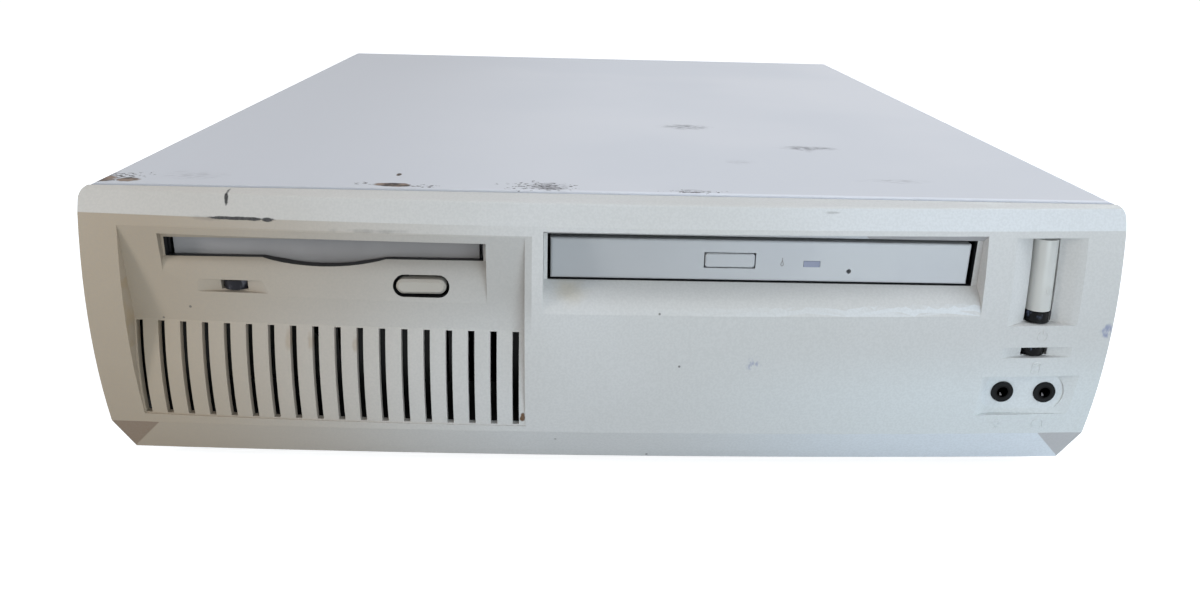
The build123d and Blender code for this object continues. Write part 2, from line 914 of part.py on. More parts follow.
def base_pan():
    tray = pan_section(pan_half, pan_floor_bottom, pan_bend + steel)
    tray -= pan_section(pan_inner_half, floor_z, pan_bend)
    shape = along_y(tray, pan_front_y, rear_face_y)
    shape += block(-pan_half, pan_half, pan_front_y, pan_inner_y, floor_z + pan_bend, pan_front_height)
    shape += block(-pan_inner_half, pan_inner_half, pan_front_y, pan_inner_y, floor_z, pan_side_height)
    shape += block(
        -pan_half, pan_half, pan_front_y, pan_front_y + pan_front_flange,
        pan_front_height - steel, pan_front_height,
    )
    shape -= wall_hole(floppy_left, floppy_right, floppy_bottom, floppy_top)
    shape -= wall_hole(optical_left, optical_right, optical_bottom, optical_top)
    shape -= wall_hole(
        column_x - audio_board_half, column_x + audio_board_half,
        audio_board_top - board_thickness, jack_height + jack_body_height / 2,
    )
    vent_left = (panel_left + panel_right - vent_hole_pitch * (vent_hole_count - 1)) / 2
    vent_z = (grille_top + grille_bottom) / 2
    vent = Rectangle(vent_hole_width, vent_hole_height)
    for index in range(vent_hole_count):
        x = vent_left + index * vent_hole_pitch
        shape -= along_y(Pos(x, vent_z) * vent, pan_front_y, pan_inner_y)
    return shape


def drive_cage():
    """One folded sheet: a foot and leg at each side and a stepped shelf for the drives."""
    half = steel / 2
    left = -(pan_inner_half - pan_bend - cage_wall_gap - cage_foot)
    right = optical_right + cage_leg_margin + half
    step = (floppy_right + optical_left) / 2
    low = floppy_bottom - half
    high = optical_bottom - half
    foot_z = floor_z + half
    fold = Polyline(
        (left - cage_foot, foot_z), (left, foot_z), (left, low), (step, low), (step, high),
        (right, high), (right, foot_z), (right + cage_foot, foot_z),
    )
    shape = along_y(trace(fold, steel), pan_inner_y, floppy_rear_y - cage_back_margin)
    window_low = floor_z + cage_foot
    window_high = floppy_bottom - cage_foot
    window_front = pan_inner_y + 2 * cage_foot
    window_back = floppy_rear_y - cage_back_margin - 2 * cage_foot
    for x in (left, right):
        shape -= block(x - steel, x + steel, window_front, window_back, window_low, window_high)
    return shape


def rubber_foot(x, y):
    cone = Cone(foot_radius - foot_taper, foot_radius, foot_height)
    return Pos(x, y, foot_height / 2) * cone


def rubber_feet():
    places = [(sx * foot_spread_x / 2, sy * foot_spread_y / 2) for sx in (-1, 1) for sy in (-1, 1)]
    return Compound([rubber_foot(x, y).solid() for x, y in places])


# Floppy drive
slot_bottom = mouth_bottom + flap_tip_gap
slot_top = slot_bottom + disk_slot_height
flap_y = floppy_face_y + flap_setback + flap_thickness / 2
flap_bottom = mouth_bottom - flap_dip
flap_tip = flap_bottom - notch_drop
room_half = flap_half_width + flap_cheek
eject_face_y = ahead(panel_floor(eject_center_x, eject_center_z) + eject_proud)
eject_back_y = floppy_face_y - eject_travel - seat_gap
eject_shank_end = floppy_face_y + eject_travel + seat_gap
eject_fit = 2 * slide_gap


def floppy_body():
    shape = block(floppy_left, floppy_right, floppy_face_y, floppy_rear_y, floppy_bottom, floppy_top)
    ceiling = flap_axis_height + flap_ceiling_gap
    shape -= block(
        floppy_center_x - room_half, floppy_center_x + room_half,
        floppy_face_y - overrun, floppy_face_y + flap_room, flap_tip - flap_tip_gap, ceiling,
    )
    shape -= block(
        floppy_center_x - disk_width / 2, floppy_center_x + disk_width / 2,
        floppy_face_y, floppy_face_y + disk_slot_depth, slot_bottom, slot_top,
    )
    pin_half = flap_half_width + flap_pin_length + seat_gap
    hole = Pos(flap_y, flap_axis_height) * Circle(flap_pin_radius + pin_fit)
    shape -= along_x(hole, floppy_center_x - pin_half, floppy_center_x + pin_half)
    shank = Pos(eject_center_x, eject_center_z)
    shank *= Rectangle(eject_shank_width + eject_fit, eject_shank_height + eject_fit)
    shape -= along_y(shank, floppy_face_y, eject_shank_end + eject_travel + seat_gap)
    return shape


def floppy_flap():
    """Leaf on two pins whose lower edge dips behind the finger notch."""
    front = flap_y - flap_thickness / 2
    leaf = block(
        floppy_center_x - flap_half_width, floppy_center_x + flap_half_width,
        front, front + flap_thickness, flap_bottom, flap_axis_height,
    )
    radius = scoop_radius(notch_width, notch_drop)
    lip = rod_y(notch_center_x, flap_tip + radius, radius, front, front + flap_thickness)
    leaf += lip & block(
        notch_center_x - notch_width / 2, notch_center_x + notch_width / 2,
        front, front + flap_thickness, flap_tip, flap_bottom,
    )
    barrel = Pos(flap_y, flap_axis_height) * Circle(flap_thickness / 2)
    leaf += along_x(barrel, floppy_center_x - flap_half_width, floppy_center_x + flap_half_width)
    pin = Pos(flap_y, flap_axis_height) * Circle(flap_pin_radius)
    reach = flap_half_width + flap_pin_length
    return leaf + along_x(pin, floppy_center_x - reach, floppy_center_x + reach)


def floppy_eject_button():
    at = Pos(eject_center_x, eject_center_z)
    cap = at * SlotOverall(eject_hole_width - 2 * eject_rim, eject_hole_height - 2 * eject_rim)
    shape = along_y(cap, eject_face_y, eject_back_y)
    front = shape.faces().sort_by(Axis.Y)[0]
    shape = chamfer(front.edges(), edge_round)
    shank = at * Rectangle(eject_shank_width, eject_shank_height)
    return shape + along_y(shank, eject_back_y, eject_shank_end)


def lens_bar(x, width, z0, z1, front0, front1, back_y):
    """Half-round bar with an upright axis: its front follows two reaches, its back is flat."""
    half = width / 2

    def section(z, front):
        center_y = ahead(front) + half
        nose = ThreePointArc((x - half, center_y), (x, center_y - half), (x + half, center_y))
        rest = Polyline((x + half, center_y), (x + half, back_y), (x - half, back_y), (x - half, center_y))
        return Pos(0, 0, z) * make_face([nose, *rest.edges()])

    return loft([section(z0, front0), section(z1, front1)], ruled=True)


def floppy_lens():
    width = disk_lens_width - 2 * lens_fit
    low = disk_lens_z - disk_lens_height / 2
    level = panel_floor(disk_lens_x, disk_lens_z) - lens_inset
    top = low + disk_lens_height - lens_fit
    return lens_bar(disk_lens_x, width, low, top, level, level, floppy_face_y)


# Slim optical drive
tray_y = optical_face_y + tray_front_thickness
tray_half = optical_width / 2 - thin_steel - seat_gap
tray_bottom = optical_bottom + thin_steel + seat_gap
tray_top = tray_bottom + optical_height - tray_headroom
tray_length = optical_length - tray_shortfall
disc_radius = disc_share * min(optical_width, optical_length)
disc_y = tray_y + disc_margin + disc_radius
well_z = tray_top - disc_well_depth
bay_floor = tray_bottom + tray_floor
bay_front = tray_y + bay_front_wall
bay_rear = disc_y + bay_rear_reach
rod_z_level = bay_floor + sled_height / 2 + seat_gap
sled_rear = disc_y - turntable_radius - 2 * seat_gap


def optical_case():
    shape = block(optical_left, optical_right, optical_case_y, optical_rear_y, optical_bottom, optical_top)
    return shape - block(
        optical_left + thin_steel, optical_right - thin_steel,
        optical_case_y - overrun, optical_rear_y - thin_steel,
        optical_bottom + thin_steel, optical_top - thin_steel,
    )


def optical_tray():
    shape = block(
        optical_center_x - tray_half, optical_center_x + tray_half,
        tray_y, tray_y + tray_length, tray_bottom, tray_top,
    )
    shape -= rod_z(optical_center_x, disc_y, disc_radius, well_z, tray_top)
    half = bay_width / 2
    bay = fillet(
        block(
            optical_center_x - half, optical_center_x + half, bay_front, bay_rear, bay_floor, tray_top
        ).edges().filter_by(Axis.Z),
        edge_round,
    )
    shaft = rod_z(optical_center_x, disc_y, spindle_shaft_radius + pin_fit, tray_bottom, bay_floor)
    return shape - bay - shaft


def optical_tray_front():
    shape = block(
        optical_left, optical_right, optical_face_y, tray_y, optical_bottom, optical_top
    )
    shape = fillet(shape.faces().sort_by(Axis.Y)[0].edges(), edge_round)
    button = lens_span(
        optical_button_x, optical_button_width + 2 * button_gap,
        optical_button_z, optical_button_height + 2 * button_gap,
    )
    lens = lens_span(optical_lens_x, optical_lens_width, optical_lens_z, optical_lens_height)
    for x0, x1, z0, z1 in (button, lens):
        shape -= block(x0, x1, optical_face_y - overrun, tray_y, z0, z1)
    return shape - rod_y(pinhole_x, pinhole_z, pinhole_radius, optical_face_y - overrun, tray_y)


def optical_button():
    face = optical_face_y - optical_button_proud
    cap = RectangleRounded(optical_button_width, optical_button_height, edge_round)
    shape = along_y(Pos(optical_button_x, optical_button_z) * cap, face, face + optical_button_length)
    return chamfer(shape.faces().sort_by(Axis.Y)[0].edges(), optical_button_proud)


def optical_lens():
    x0, x1, z0, z1 = lens_span(optical_lens_x, optical_lens_width, optical_lens_z, optical_lens_height)
    return block(x0 + lens_fit, x1 - lens_fit, optical_face_y, tray_y, z0, z1 - lens_fit)


def optical_spindle():
    """Motor can, turntable and chamfered hub, turned about one upright axis."""
    base = bay_floor + seat_gap
    table = well_z - turntable_thickness / 2
    top = table + turntable_thickness
    hub_top = top + hub_height
    shaft = spindle_shaft_radius
    profile = polygon([
        (0, tray_bottom), (shaft, tray_bottom), (shaft, base), (motor_radius, base),
        (motor_radius, table), (turntable_radius, table),
        (turntable_radius, top), (hub_radius, top), (hub_radius, hub_top - edge_round),
        (hub_radius - edge_round, hub_top), (0, hub_top),
    ])
    return Pos(optical_center_x, disc_y, 0) * revolve(Plane.XZ * profile, Axis.Z)


def optical_sled():
    half = sled_width / 2
    low = rod_z_level - sled_height / 2
    shape = block(
        optical_center_x - half, optical_center_x + half, sled_rear - sled_length, sled_rear,
        low, low + sled_height,
    )
    lens_y = sled_rear - sled_length / 2
    lens_low = low + sled_height
    shape += rod_z(optical_center_x, lens_y, sled_lens_radius, lens_low, lens_low + sled_lens_height)
    for side in (-1, 1):
        x = optical_center_x + side * rod_spread / 2
        shape -= rod_y(x, rod_z_level, rod_radius + rod_fit, sled_rear - sled_length, sled_rear)
    return shape


def optical_guide_rods():
    places = [optical_center_x + side * rod_spread / 2 for side in (-1, 1)]
    return Compound([rod_y(x, rod_z_level, rod_radius, bay_front, bay_rear).solid() for x in places])


# Button, lenses and sockets of the right column
power_low_reach = face_reach(column_x, power_scoop_bottom)
power_high_reach = face_reach(column_x, power_scoop_top)
power_center_z = (power_button_bottom + power_button_top) / 2


def power_reach(z):
    """Reach of the power button's crest, which leans with its scoop."""
    share = (z - power_scoop_bottom) / (power_scoop_top - power_scoop_bottom)
    return power_low_reach + (power_high_reach - power_low_reach) * share - power_button_inset


def power_button():
    back = ahead(power_button_back)
    shape = lens_bar(
        column_x, power_button_width, power_button_bottom, power_button_top,
        power_reach(power_button_bottom), power_reach(power_button_top), back,
    )
    half = power_button_width / 2 + power_flange_margin
    shape += block(
        column_x - half, column_x + half, back, back + power_flange,
        power_button_bottom, power_button_top + power_flange_margin,
    )
    stem = back + power_flange
    return shape + rod_y(column_x, power_center_z, power_stem_radius, stem, stem + power_stem_length)


def power_lens():
    top = power_button_bottom - seat_gap
    return lens_bar(
        column_x, power_button_width, power_lens_bottom, top,
        power_reach(power_lens_bottom), power_reach(top), ahead(power_button_back),
    )


def drive_lens():
    low = drive_lens_z - drive_lens_height / 2
    level = face_reach(column_x, drive_lens_z) - lens_inset
    width = drive_lens_width - 2 * lens_fit
    return lens_bar(
        column_x, width, low, low + drive_lens_height - lens_fit, level, level, switch_board_y
    )


def power_switch():
    half = power_switch_size / 2
    front = ahead(power_switch_reach)
    shape = block(
        column_x - half, column_x + half, front, switch_board_y,
        power_center_z - half, power_center_z + half,
    )
    bore = rod_y(
        column_x, power_center_z, power_stem_radius + seat_gap, front, switch_board_y - power_switch_wall
    )
    return shape - bore


def switch_board():
    return block(
        column_x - switch_board_half, column_x + switch_board_half,
        switch_board_y, switch_board_y + board_thickness, switch_board_bottom, switch_board_top,
    )


def sound_socket(x, z, face, body_y, radius, width, height, end):
    """Socket with a round nose, a square body and a round plug hole."""
    shape = rod_y(x, z, radius, face, body_y)
    shape += block(x - width / 2, x + width / 2, *sorted((body_y, end)), z - height / 2, z + height / 2)
    return shape - rod_y(x, z, jack_bore_radius, *sorted((face, face + jack_bore_length)))


def audio_jacks():
    face = ahead(pad_reach + jack_ring_proud)
    body_y = ahead(pad_reach - plastic_wall)
    sockets = [
        sound_socket(
            column_x + side * jack_spread / 2, jack_height, face, body_y, jack_ring_radius,
            jack_body_width, jack_body_height, body_y + jack_body_length,
        )
        for side in (-1, 1)
    ]
    return Compound([socket.solid() for socket in sockets])


def audio_board():
    front = ahead(pad_reach - plastic_wall)
    return block(
        column_x - audio_board_half, column_x + audio_board_half, front, front + audio_board_length,
        audio_board_top - board_thickness, audio_board_top,
    )


# Hard drive and speaker
def hard_drive():
    left = optical_center_x - hard_drive_width / 2
    right = left + hard_drive_width
    front = pan_inner_y + hard_drive_setback
    rear = front + hard_drive_length
    top = optical_bottom - steel
    low = top - hard_drive_height
    shape = block(left, right, front, rear, low, top)
    shape = chamfer(shape.edges().filter_by(Axis.Z), hard_drive_chamfer)
    margin = hard_drive_lid_margin
    groove = block(left, right, front, rear, top - hard_drive_lid_depth, top)
    lid = block(left + margin, right - margin, front + margin, rear - margin, low, top)
    shape -= groove - lid
    half = hard_drive_plug_width / 2
    return shape - block(
        header_x - half, header_x + half, rear - ribbon_plug_depth, rear,
        hard_plug_height - hard_drive_plug_height / 2, hard_plug_height + hard_drive_plug_height / 2,
    )


def speaker():
    """Round basket with a hollow cone in front and a magnet behind, facing the grille."""
    depth = speaker_depth
    shoulder = depth - speaker_magnet_depth
    profile = polygon([
        (0, speaker_cone_depth), (speaker_cap_radius, speaker_cone_depth), (speaker_cone_radius, 0),
        (speaker_radius, 0), (speaker_radius, steel), (speaker_basket_radius, steel),
        (speaker_basket_radius, shoulder), (speaker_magnet_radius, shoulder),
        (speaker_magnet_radius, depth), (0, depth),
    ])
    turned = revolve(Plane.XZ * profile, Axis.Z)
    return Pos(speaker_x, pan_inner_y, speaker_height) * Rot(-90, 0, 0) * turned


# Main board and what stands on it
board_bottom = floor_z + standoff_height
board_top = board_bottom + board_thickness
board_front = floppy_rear_y + board_front_gap
board_rear = rear_inner_y - board_rear_gap
port_front_y = rear_inner_y - port_body_depth
hard_drive_rear = pan_inner_y + hard_drive_setback + hard_drive_length
disk_header_y = floppy_rear_y + disk_header_gap
hard_header_y = hard_drive_rear + hard_header_gap
optical_header_y = hard_header_y + header_pitch
sink_size = min(sink_width_share * overall_width, sink_depth_share * overall_depth)
sink_front = optical_header_y + header_depth / 2 + sink_front_gap
sink_rear = sink_front + sink_size
sink_center_y = (sink_front + sink_rear) / 2
capacitor_y = sink_rear + capacitor_sink_gap
power_socket_y = (sink_rear + port_front_y) / 2
power_socket_length = power_socket_share * (port_front_y - sink_rear)
riser_rear = port_front_y - riser_rear_gap
riser_front = riser_rear - riser_length


def main_board():
    return block(board_left, board_right, board_front, board_rear, board_bottom, board_top)


def board_standoffs():
    rows = (board_front + standoff_inset, (board_front + board_rear) / 2, board_rear - standoff_inset)
    columns = (board_left + standoff_inset, board_right - standoff_inset)
    post = extrude(RegularPolygon(standoff_radius, 6), standoff_height)
    places = [Pos(x, y, floor_z) for x in columns for y in rows]
    return Compound([(place * post).solid() for place in places])


def board_block(x, y, width, depth, height, base):
    return block(x - width / 2, x + width / 2, y - depth / 2, y + depth / 2, base, base + height)


processor_z = board_top + socket_height
sink_z = processor_z + processor_height
sink_top = sink_z + sink_height


def processor_socket():
    return board_block(sink_center_x, sink_center_y, socket_size, socket_size, socket_height, board_top)


def processor():
    size = processor_size
    return board_block(sink_center_x, sink_center_y, size, size, processor_height, processor_z)


def processor_heatsink():
    shape = board_block(sink_center_x, sink_center_y, sink_size, sink_size, sink_base, sink_z)
    pitch = (sink_size - fin_thickness) / (fin_count - 1)
    first = sink_center_x - sink_size / 2
    for index in range(fin_count):
        left = first + index * pitch
        shape += block(
            left, left + fin_thickness, sink_center_y - sink_size / 2, sink_center_y + sink_size / 2,
            sink_z + sink_base, sink_top,
        )
    return shape


def fan_frame(size, depth):
    """Square fan frame on the floor plane, with struts and a motor seat on its lower side."""
    half = size / 2
    bore = half - fan_rim
    shape = extrude(RectangleRounded(size, size, fan_strut), depth)
    shape -= extrude(Circle(bore), depth)
    hub = fan_hub_share * half
    seat = Circle(hub)
    for index in range(4):
        seat += Rot(0, 0, 45 + 90 * index) * Pos(bore / 2, 0) * Rectangle(bore + fan_rim, fan_strut)
    seat &= Circle(bore + fan_rim / 2)
    seat -= Circle(fan_shaft_radius + pin_fit)
    return shape + extrude(seat, fan_seat_depth)


def fan_rotor(size, depth):
    """Hub with pitched blades, standing on the frame's motor seat."""
    half = size / 2
    hub = fan_hub_share * half
    tip = half - fan_rim - fan_tip_gap
    low = fan_seat_depth + seat_gap
    span = depth - low - seat_gap
    shape = Pos(0, 0, low) * extrude(Circle(hub), span) + extrude(Circle(fan_shaft_radius), low)
    middle = low + span / 2
    chord = fan_blade_share * span / sin(radians(fan_blade_pitch))
    section = Rot(0, 0, fan_blade_pitch) * Rectangle(chord, fan_blade_thickness)
    blade = along_x(Pos(0, middle) * section, hub - fan_blade_thickness, tip)
    blade &= extrude(Circle(tip), depth)
    for index in range(fan_blades):
        shape += Rot(0, 0, 360 * index / fan_blades) * blade
    return shape


def processor_fan_frame():
    return Pos(sink_center_x, sink_center_y, sink_top) * fan_frame(sink_size, cooler_fan_depth)


def processor_fan_rotor():
    return Pos(sink_center_x, sink_center_y, sink_top) * fan_rotor(sink_size, cooler_fan_depth)


memory_first_y = disk_header_y + memory_header_gap
memory_rows = [memory_first_y + index * memory_pitch for index in range(2)]
memory_center_x = memory_left + memory_length / 2
memory_base = board_top + memory_seat


def memory_sockets():
    sockets = []
    for y in memory_rows:
        shape = board_block(
            memory_center_x, y, memory_length, memory_socket_width, memory_socket_height, board_top
        )
        for side in (-1, 1):
            x = memory_center_x + side * (memory_length - memory_latch_width) / 2
            shape += board_block(
                x, y, memory_latch_width, memory_socket_width, memory_latch_height, board_top
            )
        shape -= board_block(
            memory_center_x, y, memory_module_length + 2 * seat_gap,
            memory_module_thickness + 2 * seat_gap, memory_module_height, memory_base,
        )
        sockets.append(shape.solid())
    return Compound(sockets)


def memory_modules():
    modules = []
    pitch = memory_module_length / memory_chip_count
    for y in memory_rows:
        card = board_block(
            memory_center_x, y, memory_module_length, memory_module_thickness,
            memory_module_height, memory_base,
        )
        for index in range(memory_chip_count):
            x = memory_center_x + (index + 1 / 2 - memory_chip_count / 2) * pitch
            chip_low = board_top + memory_socket_height + seat_gap
            card += block(
                x - memory_chip_width / 2, x + memory_chip_width / 2,
                y - memory_module_thickness / 2 - memory_chip_thickness, y,
                chip_low, chip_low + memory_chip_height,
            )
        modules.append(card.solid())
    return Compound(modules)


riser_base = board_top + riser_socket_height
card_slot_high = screw_z - thumbscrew_shank_radius - card_slot_clear - cover_plate_height / 2
card_slot_heights = (card_slot_high - card_slot_pitch, card_slot_high)
riser_middle_y = (riser_front + riser_rear) / 2


def riser_card():
    return block(
        riser_x - board_thickness / 2, riser_x + board_thickness / 2, riser_front, riser_rear,
        riser_base, board_top + riser_height,
    )


def card_slots():
    slots = []
    face = riser_x - board_thickness / 2
    for z in card_slot_heights:
        low = riser_front + card_slot_margin
        high = riser_rear - card_slot_margin
        half = card_slot_height / 2
        shape = block(face - card_slot_reach, face, low, high, z - half, z + half)
        shape -= block(
            face - card_slot_reach, face - steel, low + steel, high - steel,
            z - card_slot_groove / 2, z + card_slot_groove / 2,
        )
        slots.append(shape.solid())
    return Compound(slots)


def board_connectors():
    """Three drive headers, the riser card's socket and the power socket."""
    header = (header_width, header_depth, header_height)
    riser = (riser_socket_width, riser_rear - riser_front, riser_socket_height)
    power = (power_socket_width, power_socket_length, power_socket_height)
    places = [
        (floppy_center_x, disk_header_y, header), (header_x, hard_header_y, header),
        (header_x, optical_header_y, header), (riser_x, riser_middle_y, riser),
        (power_socket_x, power_socket_y, power),
    ]
    return Compound([board_block(x, y, *size, board_top).solid() for x, y, size in places])


def board_chips():
    places = [
        (bridge_chip_x, bridge_chip_y, bridge_chip_size),
        (control_chip_x, control_chip_y, control_chip_size),
        (io_chip_x, io_chip_y, io_chip_size),
    ]
    chips = [board_block(x, y, size, size, chip_height, board_top) for x, y, size in places]
    return Compound([chip.solid() for chip in chips])


def board_capacitors():
    cans = []
    for index in range(capacitor_count):
        x = capacitor_x + index * capacitor_pitch
        can = rod_z(x, capacitor_y, capacitor_radius, board_top, board_top + capacitor_height)
        cans.append(can.solid())
    return Compound(cans)


def battery_holder():
    reach = battery_radius + battery_holder_wall + seat_gap
    shape = rod_z(battery_x, battery_y, reach, board_top, board_top + battery_holder_height)
    return shape - rod_z(
        battery_x, battery_y, battery_radius + seat_gap,
        board_top + battery_holder_wall, board_top + battery_holder_height,
    )


def coin_battery():
    low = board_top + battery_holder_wall
    return rod_z(battery_x, battery_y, battery_radius, low, low + battery_thickness)


# Places in the power supply, which the board power lead comes out of
supply_right = pan_inner_half - steel - supply_side_gap
supply_top = screw_z - thumbscrew_shank_radius - supply_screw_gap
supply_front = rear_inner_y - supply_length
supply_back = rear_inner_y - steel
inlet_x = supply_right - steel - inlet_width / 2
selector_z = supply_top - steel - selector_top_gap - selector_height / 2
fan_room = inlet_x - inlet_width / 2 - inlet_flange - supply_left - 2 * supply_fan_gap
supply_fan_size = min(supply_fan_share * (supply_top - floor_z), fan_room)
supply_fan_x = supply_left + supply_fan_gap + supply_fan_size / 2
fan_bore = supply_fan_size / 2 - fan_rim


# Ribbons and the board power lead
def ribbon(x, width, start, header_y):
    """Flat cable from a drive's rear socket, over one bend, down into a header, with its two plugs."""
    start_y, start_z = start
    end_z = board_top + header_height
    route = FilletPolyline((start_y, start_z), (header_y, start_z), (header_y, end_z), radius=ribbon_bend)
    band = along_x(trace(route, ribbon_thickness), x - width / 2, x + width / 2)
    half = ribbon_plug_width / 2
    plug = ribbon_plug_height / 2
    band += block(x - half, x + half, start_y, start_y + ribbon_plug_depth, start_z - plug, start_z + plug)
    return band + block(
        x - half, x + half, header_y - plug, header_y + plug, end_z, end_z + ribbon_plug_depth
    )


optical_plug_height = optical_bottom + optical_height / 2


def drive_ribbons():
    bands = [
        ribbon(floppy_center_x, disk_ribbon_width, (floppy_rear_y, disk_plug_height), disk_header_y),
        ribbon(header_x, drive_ribbon_width, (hard_drive_rear, hard_plug_height), hard_header_y),
        ribbon(header_x, drive_ribbon_width, (optical_rear_y, optical_plug_height), optical_header_y),
    ]
    return Compound([band.solid() for band in bands])


def board_power_lead():
    """Bundle of wires from the supply's side wall down into the board's power socket."""
    end_z = board_top + power_socket_height
    exit_y = power_socket_y - lead_run
    exit_z = supply_top - lead_exit_drop
    route = FilletPolyline(
        (supply_left, exit_y, exit_z),
        (power_socket_x, exit_y, exit_z),
        (power_socket_x, power_socket_y, exit_z),
        (power_socket_x, power_socket_y, end_z),
        radius=lead_bend_share * lead_run,
    )
    start = Plane(origin=route @ 0, z_dir=route % 0)
    return sweep(start * RegularPolygon(lead_radius, lead_wires), path=route)


# Power supply
fan_window = Pos(supply_fan_x, supply_fan_z) * Circle(fan_bore)
inlet_window = Pos(inlet_x, inlet_z) * Rectangle(inlet_width + 2 * seat_gap, inlet_height + 2 * seat_gap)
selector_window = Pos(inlet_x, selector_z) * Rectangle(selector_width, selector_height)


def supply_case():
    shape = block(supply_left, supply_right, supply_front, rear_inner_y, floor_z, supply_top)
    shape -= block(
        supply_left + steel, supply_right - steel, supply_front + steel, supply_back,
        floor_z + steel, supply_top - steel,
    )
    for window in (fan_window, inlet_window, selector_window):
        shape -= along_y(window, supply_back, rear_inner_y)
    low = floor_z + supply_slot_margin
    high = supply_top - supply_slot_margin
    for index in range(supply_slot_count):
        x = supply_left + supply_slot_margin + index * supply_slot_pitch
        vent = Pos(x, (low + high) / 2) * Rectangle(supply_slot_width, high - low)
        shape -= along_y(vent, supply_front, supply_front + steel)
    return shape


fan_place = Pos(supply_fan_x, supply_back, supply_fan_z) * Rot(90, 0, 0)


def supply_fan_frame():
    return fan_place * fan_frame(supply_fan_size, supply_fan_depth)


def supply_fan_rotor():
    return fan_place * fan_rotor(supply_fan_size, supply_fan_depth)


def fan_guard():
    """Rings of round wire on four spokes, over the fan's window."""
    outer = fan_bore + fan_rim
    lie = rear_face_y + guard_wire / 2
    spokes = None
    for index in range(4):
        spoke = Rot(0, 0, 45 + 90 * index) * Pos(outer / 2, 0) * Rectangle(outer, guard_wire)
        spokes = spoke if spokes is None else spokes + spoke
    rings = Sketch()
    for index in range(guard_rings):
        radius = outer * (index + 1) / guard_rings - guard_wire / 2
        rings += Circle(radius + guard_wire / 2) - Circle(radius - guard_wire / 2)
    at = Pos(supply_fan_x, supply_fan_z)
    frame = along_y(at * spokes, rear_face_y, rear_face_y + guard_wire)
    return frame + along_y(at * rings, lie, lie + guard_wire)


def inlet_outline(wall):
    """Inlet mouth: an upright rectangle with two corners cut."""
    half = inlet_width / 2 - wall
    tall = inlet_height / 2 - wall
    cut = inlet_corner
    return Pos(inlet_x, inlet_z) * polygon([
        (-half, -tall), (half - cut, -tall), (half, cut - tall),
        (half, tall - cut), (half - cut, tall), (-half, tall),
    ])


def mains_inlet():
    back = rear_face_y - inlet_depth
    face = rear_face_y + inlet_flange_depth
    shape = along_y(Pos(inlet_x, inlet_z) * Rectangle(inlet_width, inlet_height), back, rear_face_y)
    rim = 2 * inlet_flange
    flange = RectangleRounded(inlet_width + rim, inlet_height + rim, inlet_flange)
    shape += along_y(Pos(inlet_x, inlet_z) * flange, rear_face_y, face)
    shape -= along_y(inlet_outline(inlet_wall), back + inlet_wall, face)
    outer_x = -inlet_pin_height
    for x, z in ((outer_x, inlet_pin_spread), (-outer_x, 0), (outer_x, -inlet_pin_spread)):
        pin = Pos(inlet_x + x, inlet_z + z) * Rectangle(inlet_pin_height, inlet_pin_width)
        shape += along_y(pin, back + inlet_wall, rear_face_y - inlet_pin_tip)
    return shape


selector_pocket_y = rear_face_y - selector_pocket_depth
selector_rest_z = selector_z - selector_travel / 2


def selector_housing():
    shape = along_y(
        Pos(inlet_x, selector_z) * Rectangle(selector_width, selector_height),
        rear_face_y - selector_depth, rear_face_y,
    )
    pocket = Rectangle(
        selector_slider_width + 2 * seat_gap, selector_slider_height + selector_travel + 2 * seat_gap
    )
    return shape - along_y(Pos(inlet_x, selector_z) * pocket, selector_pocket_y, rear_face_y)


def selector_slider():
    shape = along_y(
        Pos(inlet_x, selector_rest_z) * Rectangle(selector_slider_width, selector_slider_height),
        selector_pocket_y + seat_gap, rear_face_y - seat_gap,
    )
    groove = Pos(inlet_x, selector_rest_z) * Rectangle(selector_slider_width, slide_gap * 2)
    return shape - along_y(groove, rear_face_y - seat_gap - steel, rear_face_y)


# Rear sockets and blank slot covers
def dsub_outline(x, width, height):
    """D-shaped outline, wider at the top."""
    z = board_top + dsub_height / 2
    lean = height * sin(radians(dsub_slope)) / cos(radians(dsub_slope))
    half = width / 2
    outline = polygon([
        (lean - half, -height / 2), (half - lean, -height / 2), (half, height / 2), (-half, height / 2),
    ])
    return Pos(x, z) * chamfer(outline.vertices(), dsub_corner)


def post_places(x, width):
    reach = width / 2 - dsub_post_radius
    return [(x + side * reach, board_top + dsub_height / 2) for side in (-1, 1)]


def dsub_port(x, width, shell, depth):
    """Shielded D-shaped socket with its two hexagon posts."""
    face = rear_face_y + port_proud
    shape = block(
        x - width / 2, x + width / 2, rear_inner_y - port_body_depth, rear_inner_y,
        board_top, board_top + dsub_height,
    )
    shape += along_y(dsub_outline(x, shell, dsub_shell_height), rear_inner_y, face)
    inner = dsub_outline(x, shell - 2 * dsub_shell_wall, dsub_shell_height - 2 * dsub_shell_wall)
    shape -= along_y(inner, face - depth, face)
    for post_x, post_z in post_places(x, width):
        post = Pos(post_x, post_z) * RegularPolygon(dsub_post_radius, 6)
        shape += along_y(post, rear_inner_y, face)
    return shape


dsub_places = [
    (serial_x, small_dsub_width, small_dsub_shell, port_proud),
    (parallel_x, wide_dsub_width, wide_dsub_shell, dsub_recess),
    (video_x, small_dsub_width, small_dsub_shell, dsub_recess),
]


def dsub_ports():
    """Serial, parallel and video sockets."""
    return Compound([dsub_port(*place).solid() for place in dsub_places])


port_face_y = rear_face_y + port_lip


def port_box(x, width, height):
    return block(
        x - width / 2, x + width / 2, rear_inner_y - port_body_depth, port_face_y,
        board_top, board_top + height,
    )


def keyboard_ports():
    shape = port_box(keyboard_x, keyboard_width, 2 * keyboard_height)
    for level in (0, 1):
        z = board_top + keyboard_height * (level + 1 / 2)
        inner = port_face_y - keyboard_socket_depth
        shape -= rod_y(keyboard_x, z, keyboard_socket_radius, inner, port_face_y)
    return shape


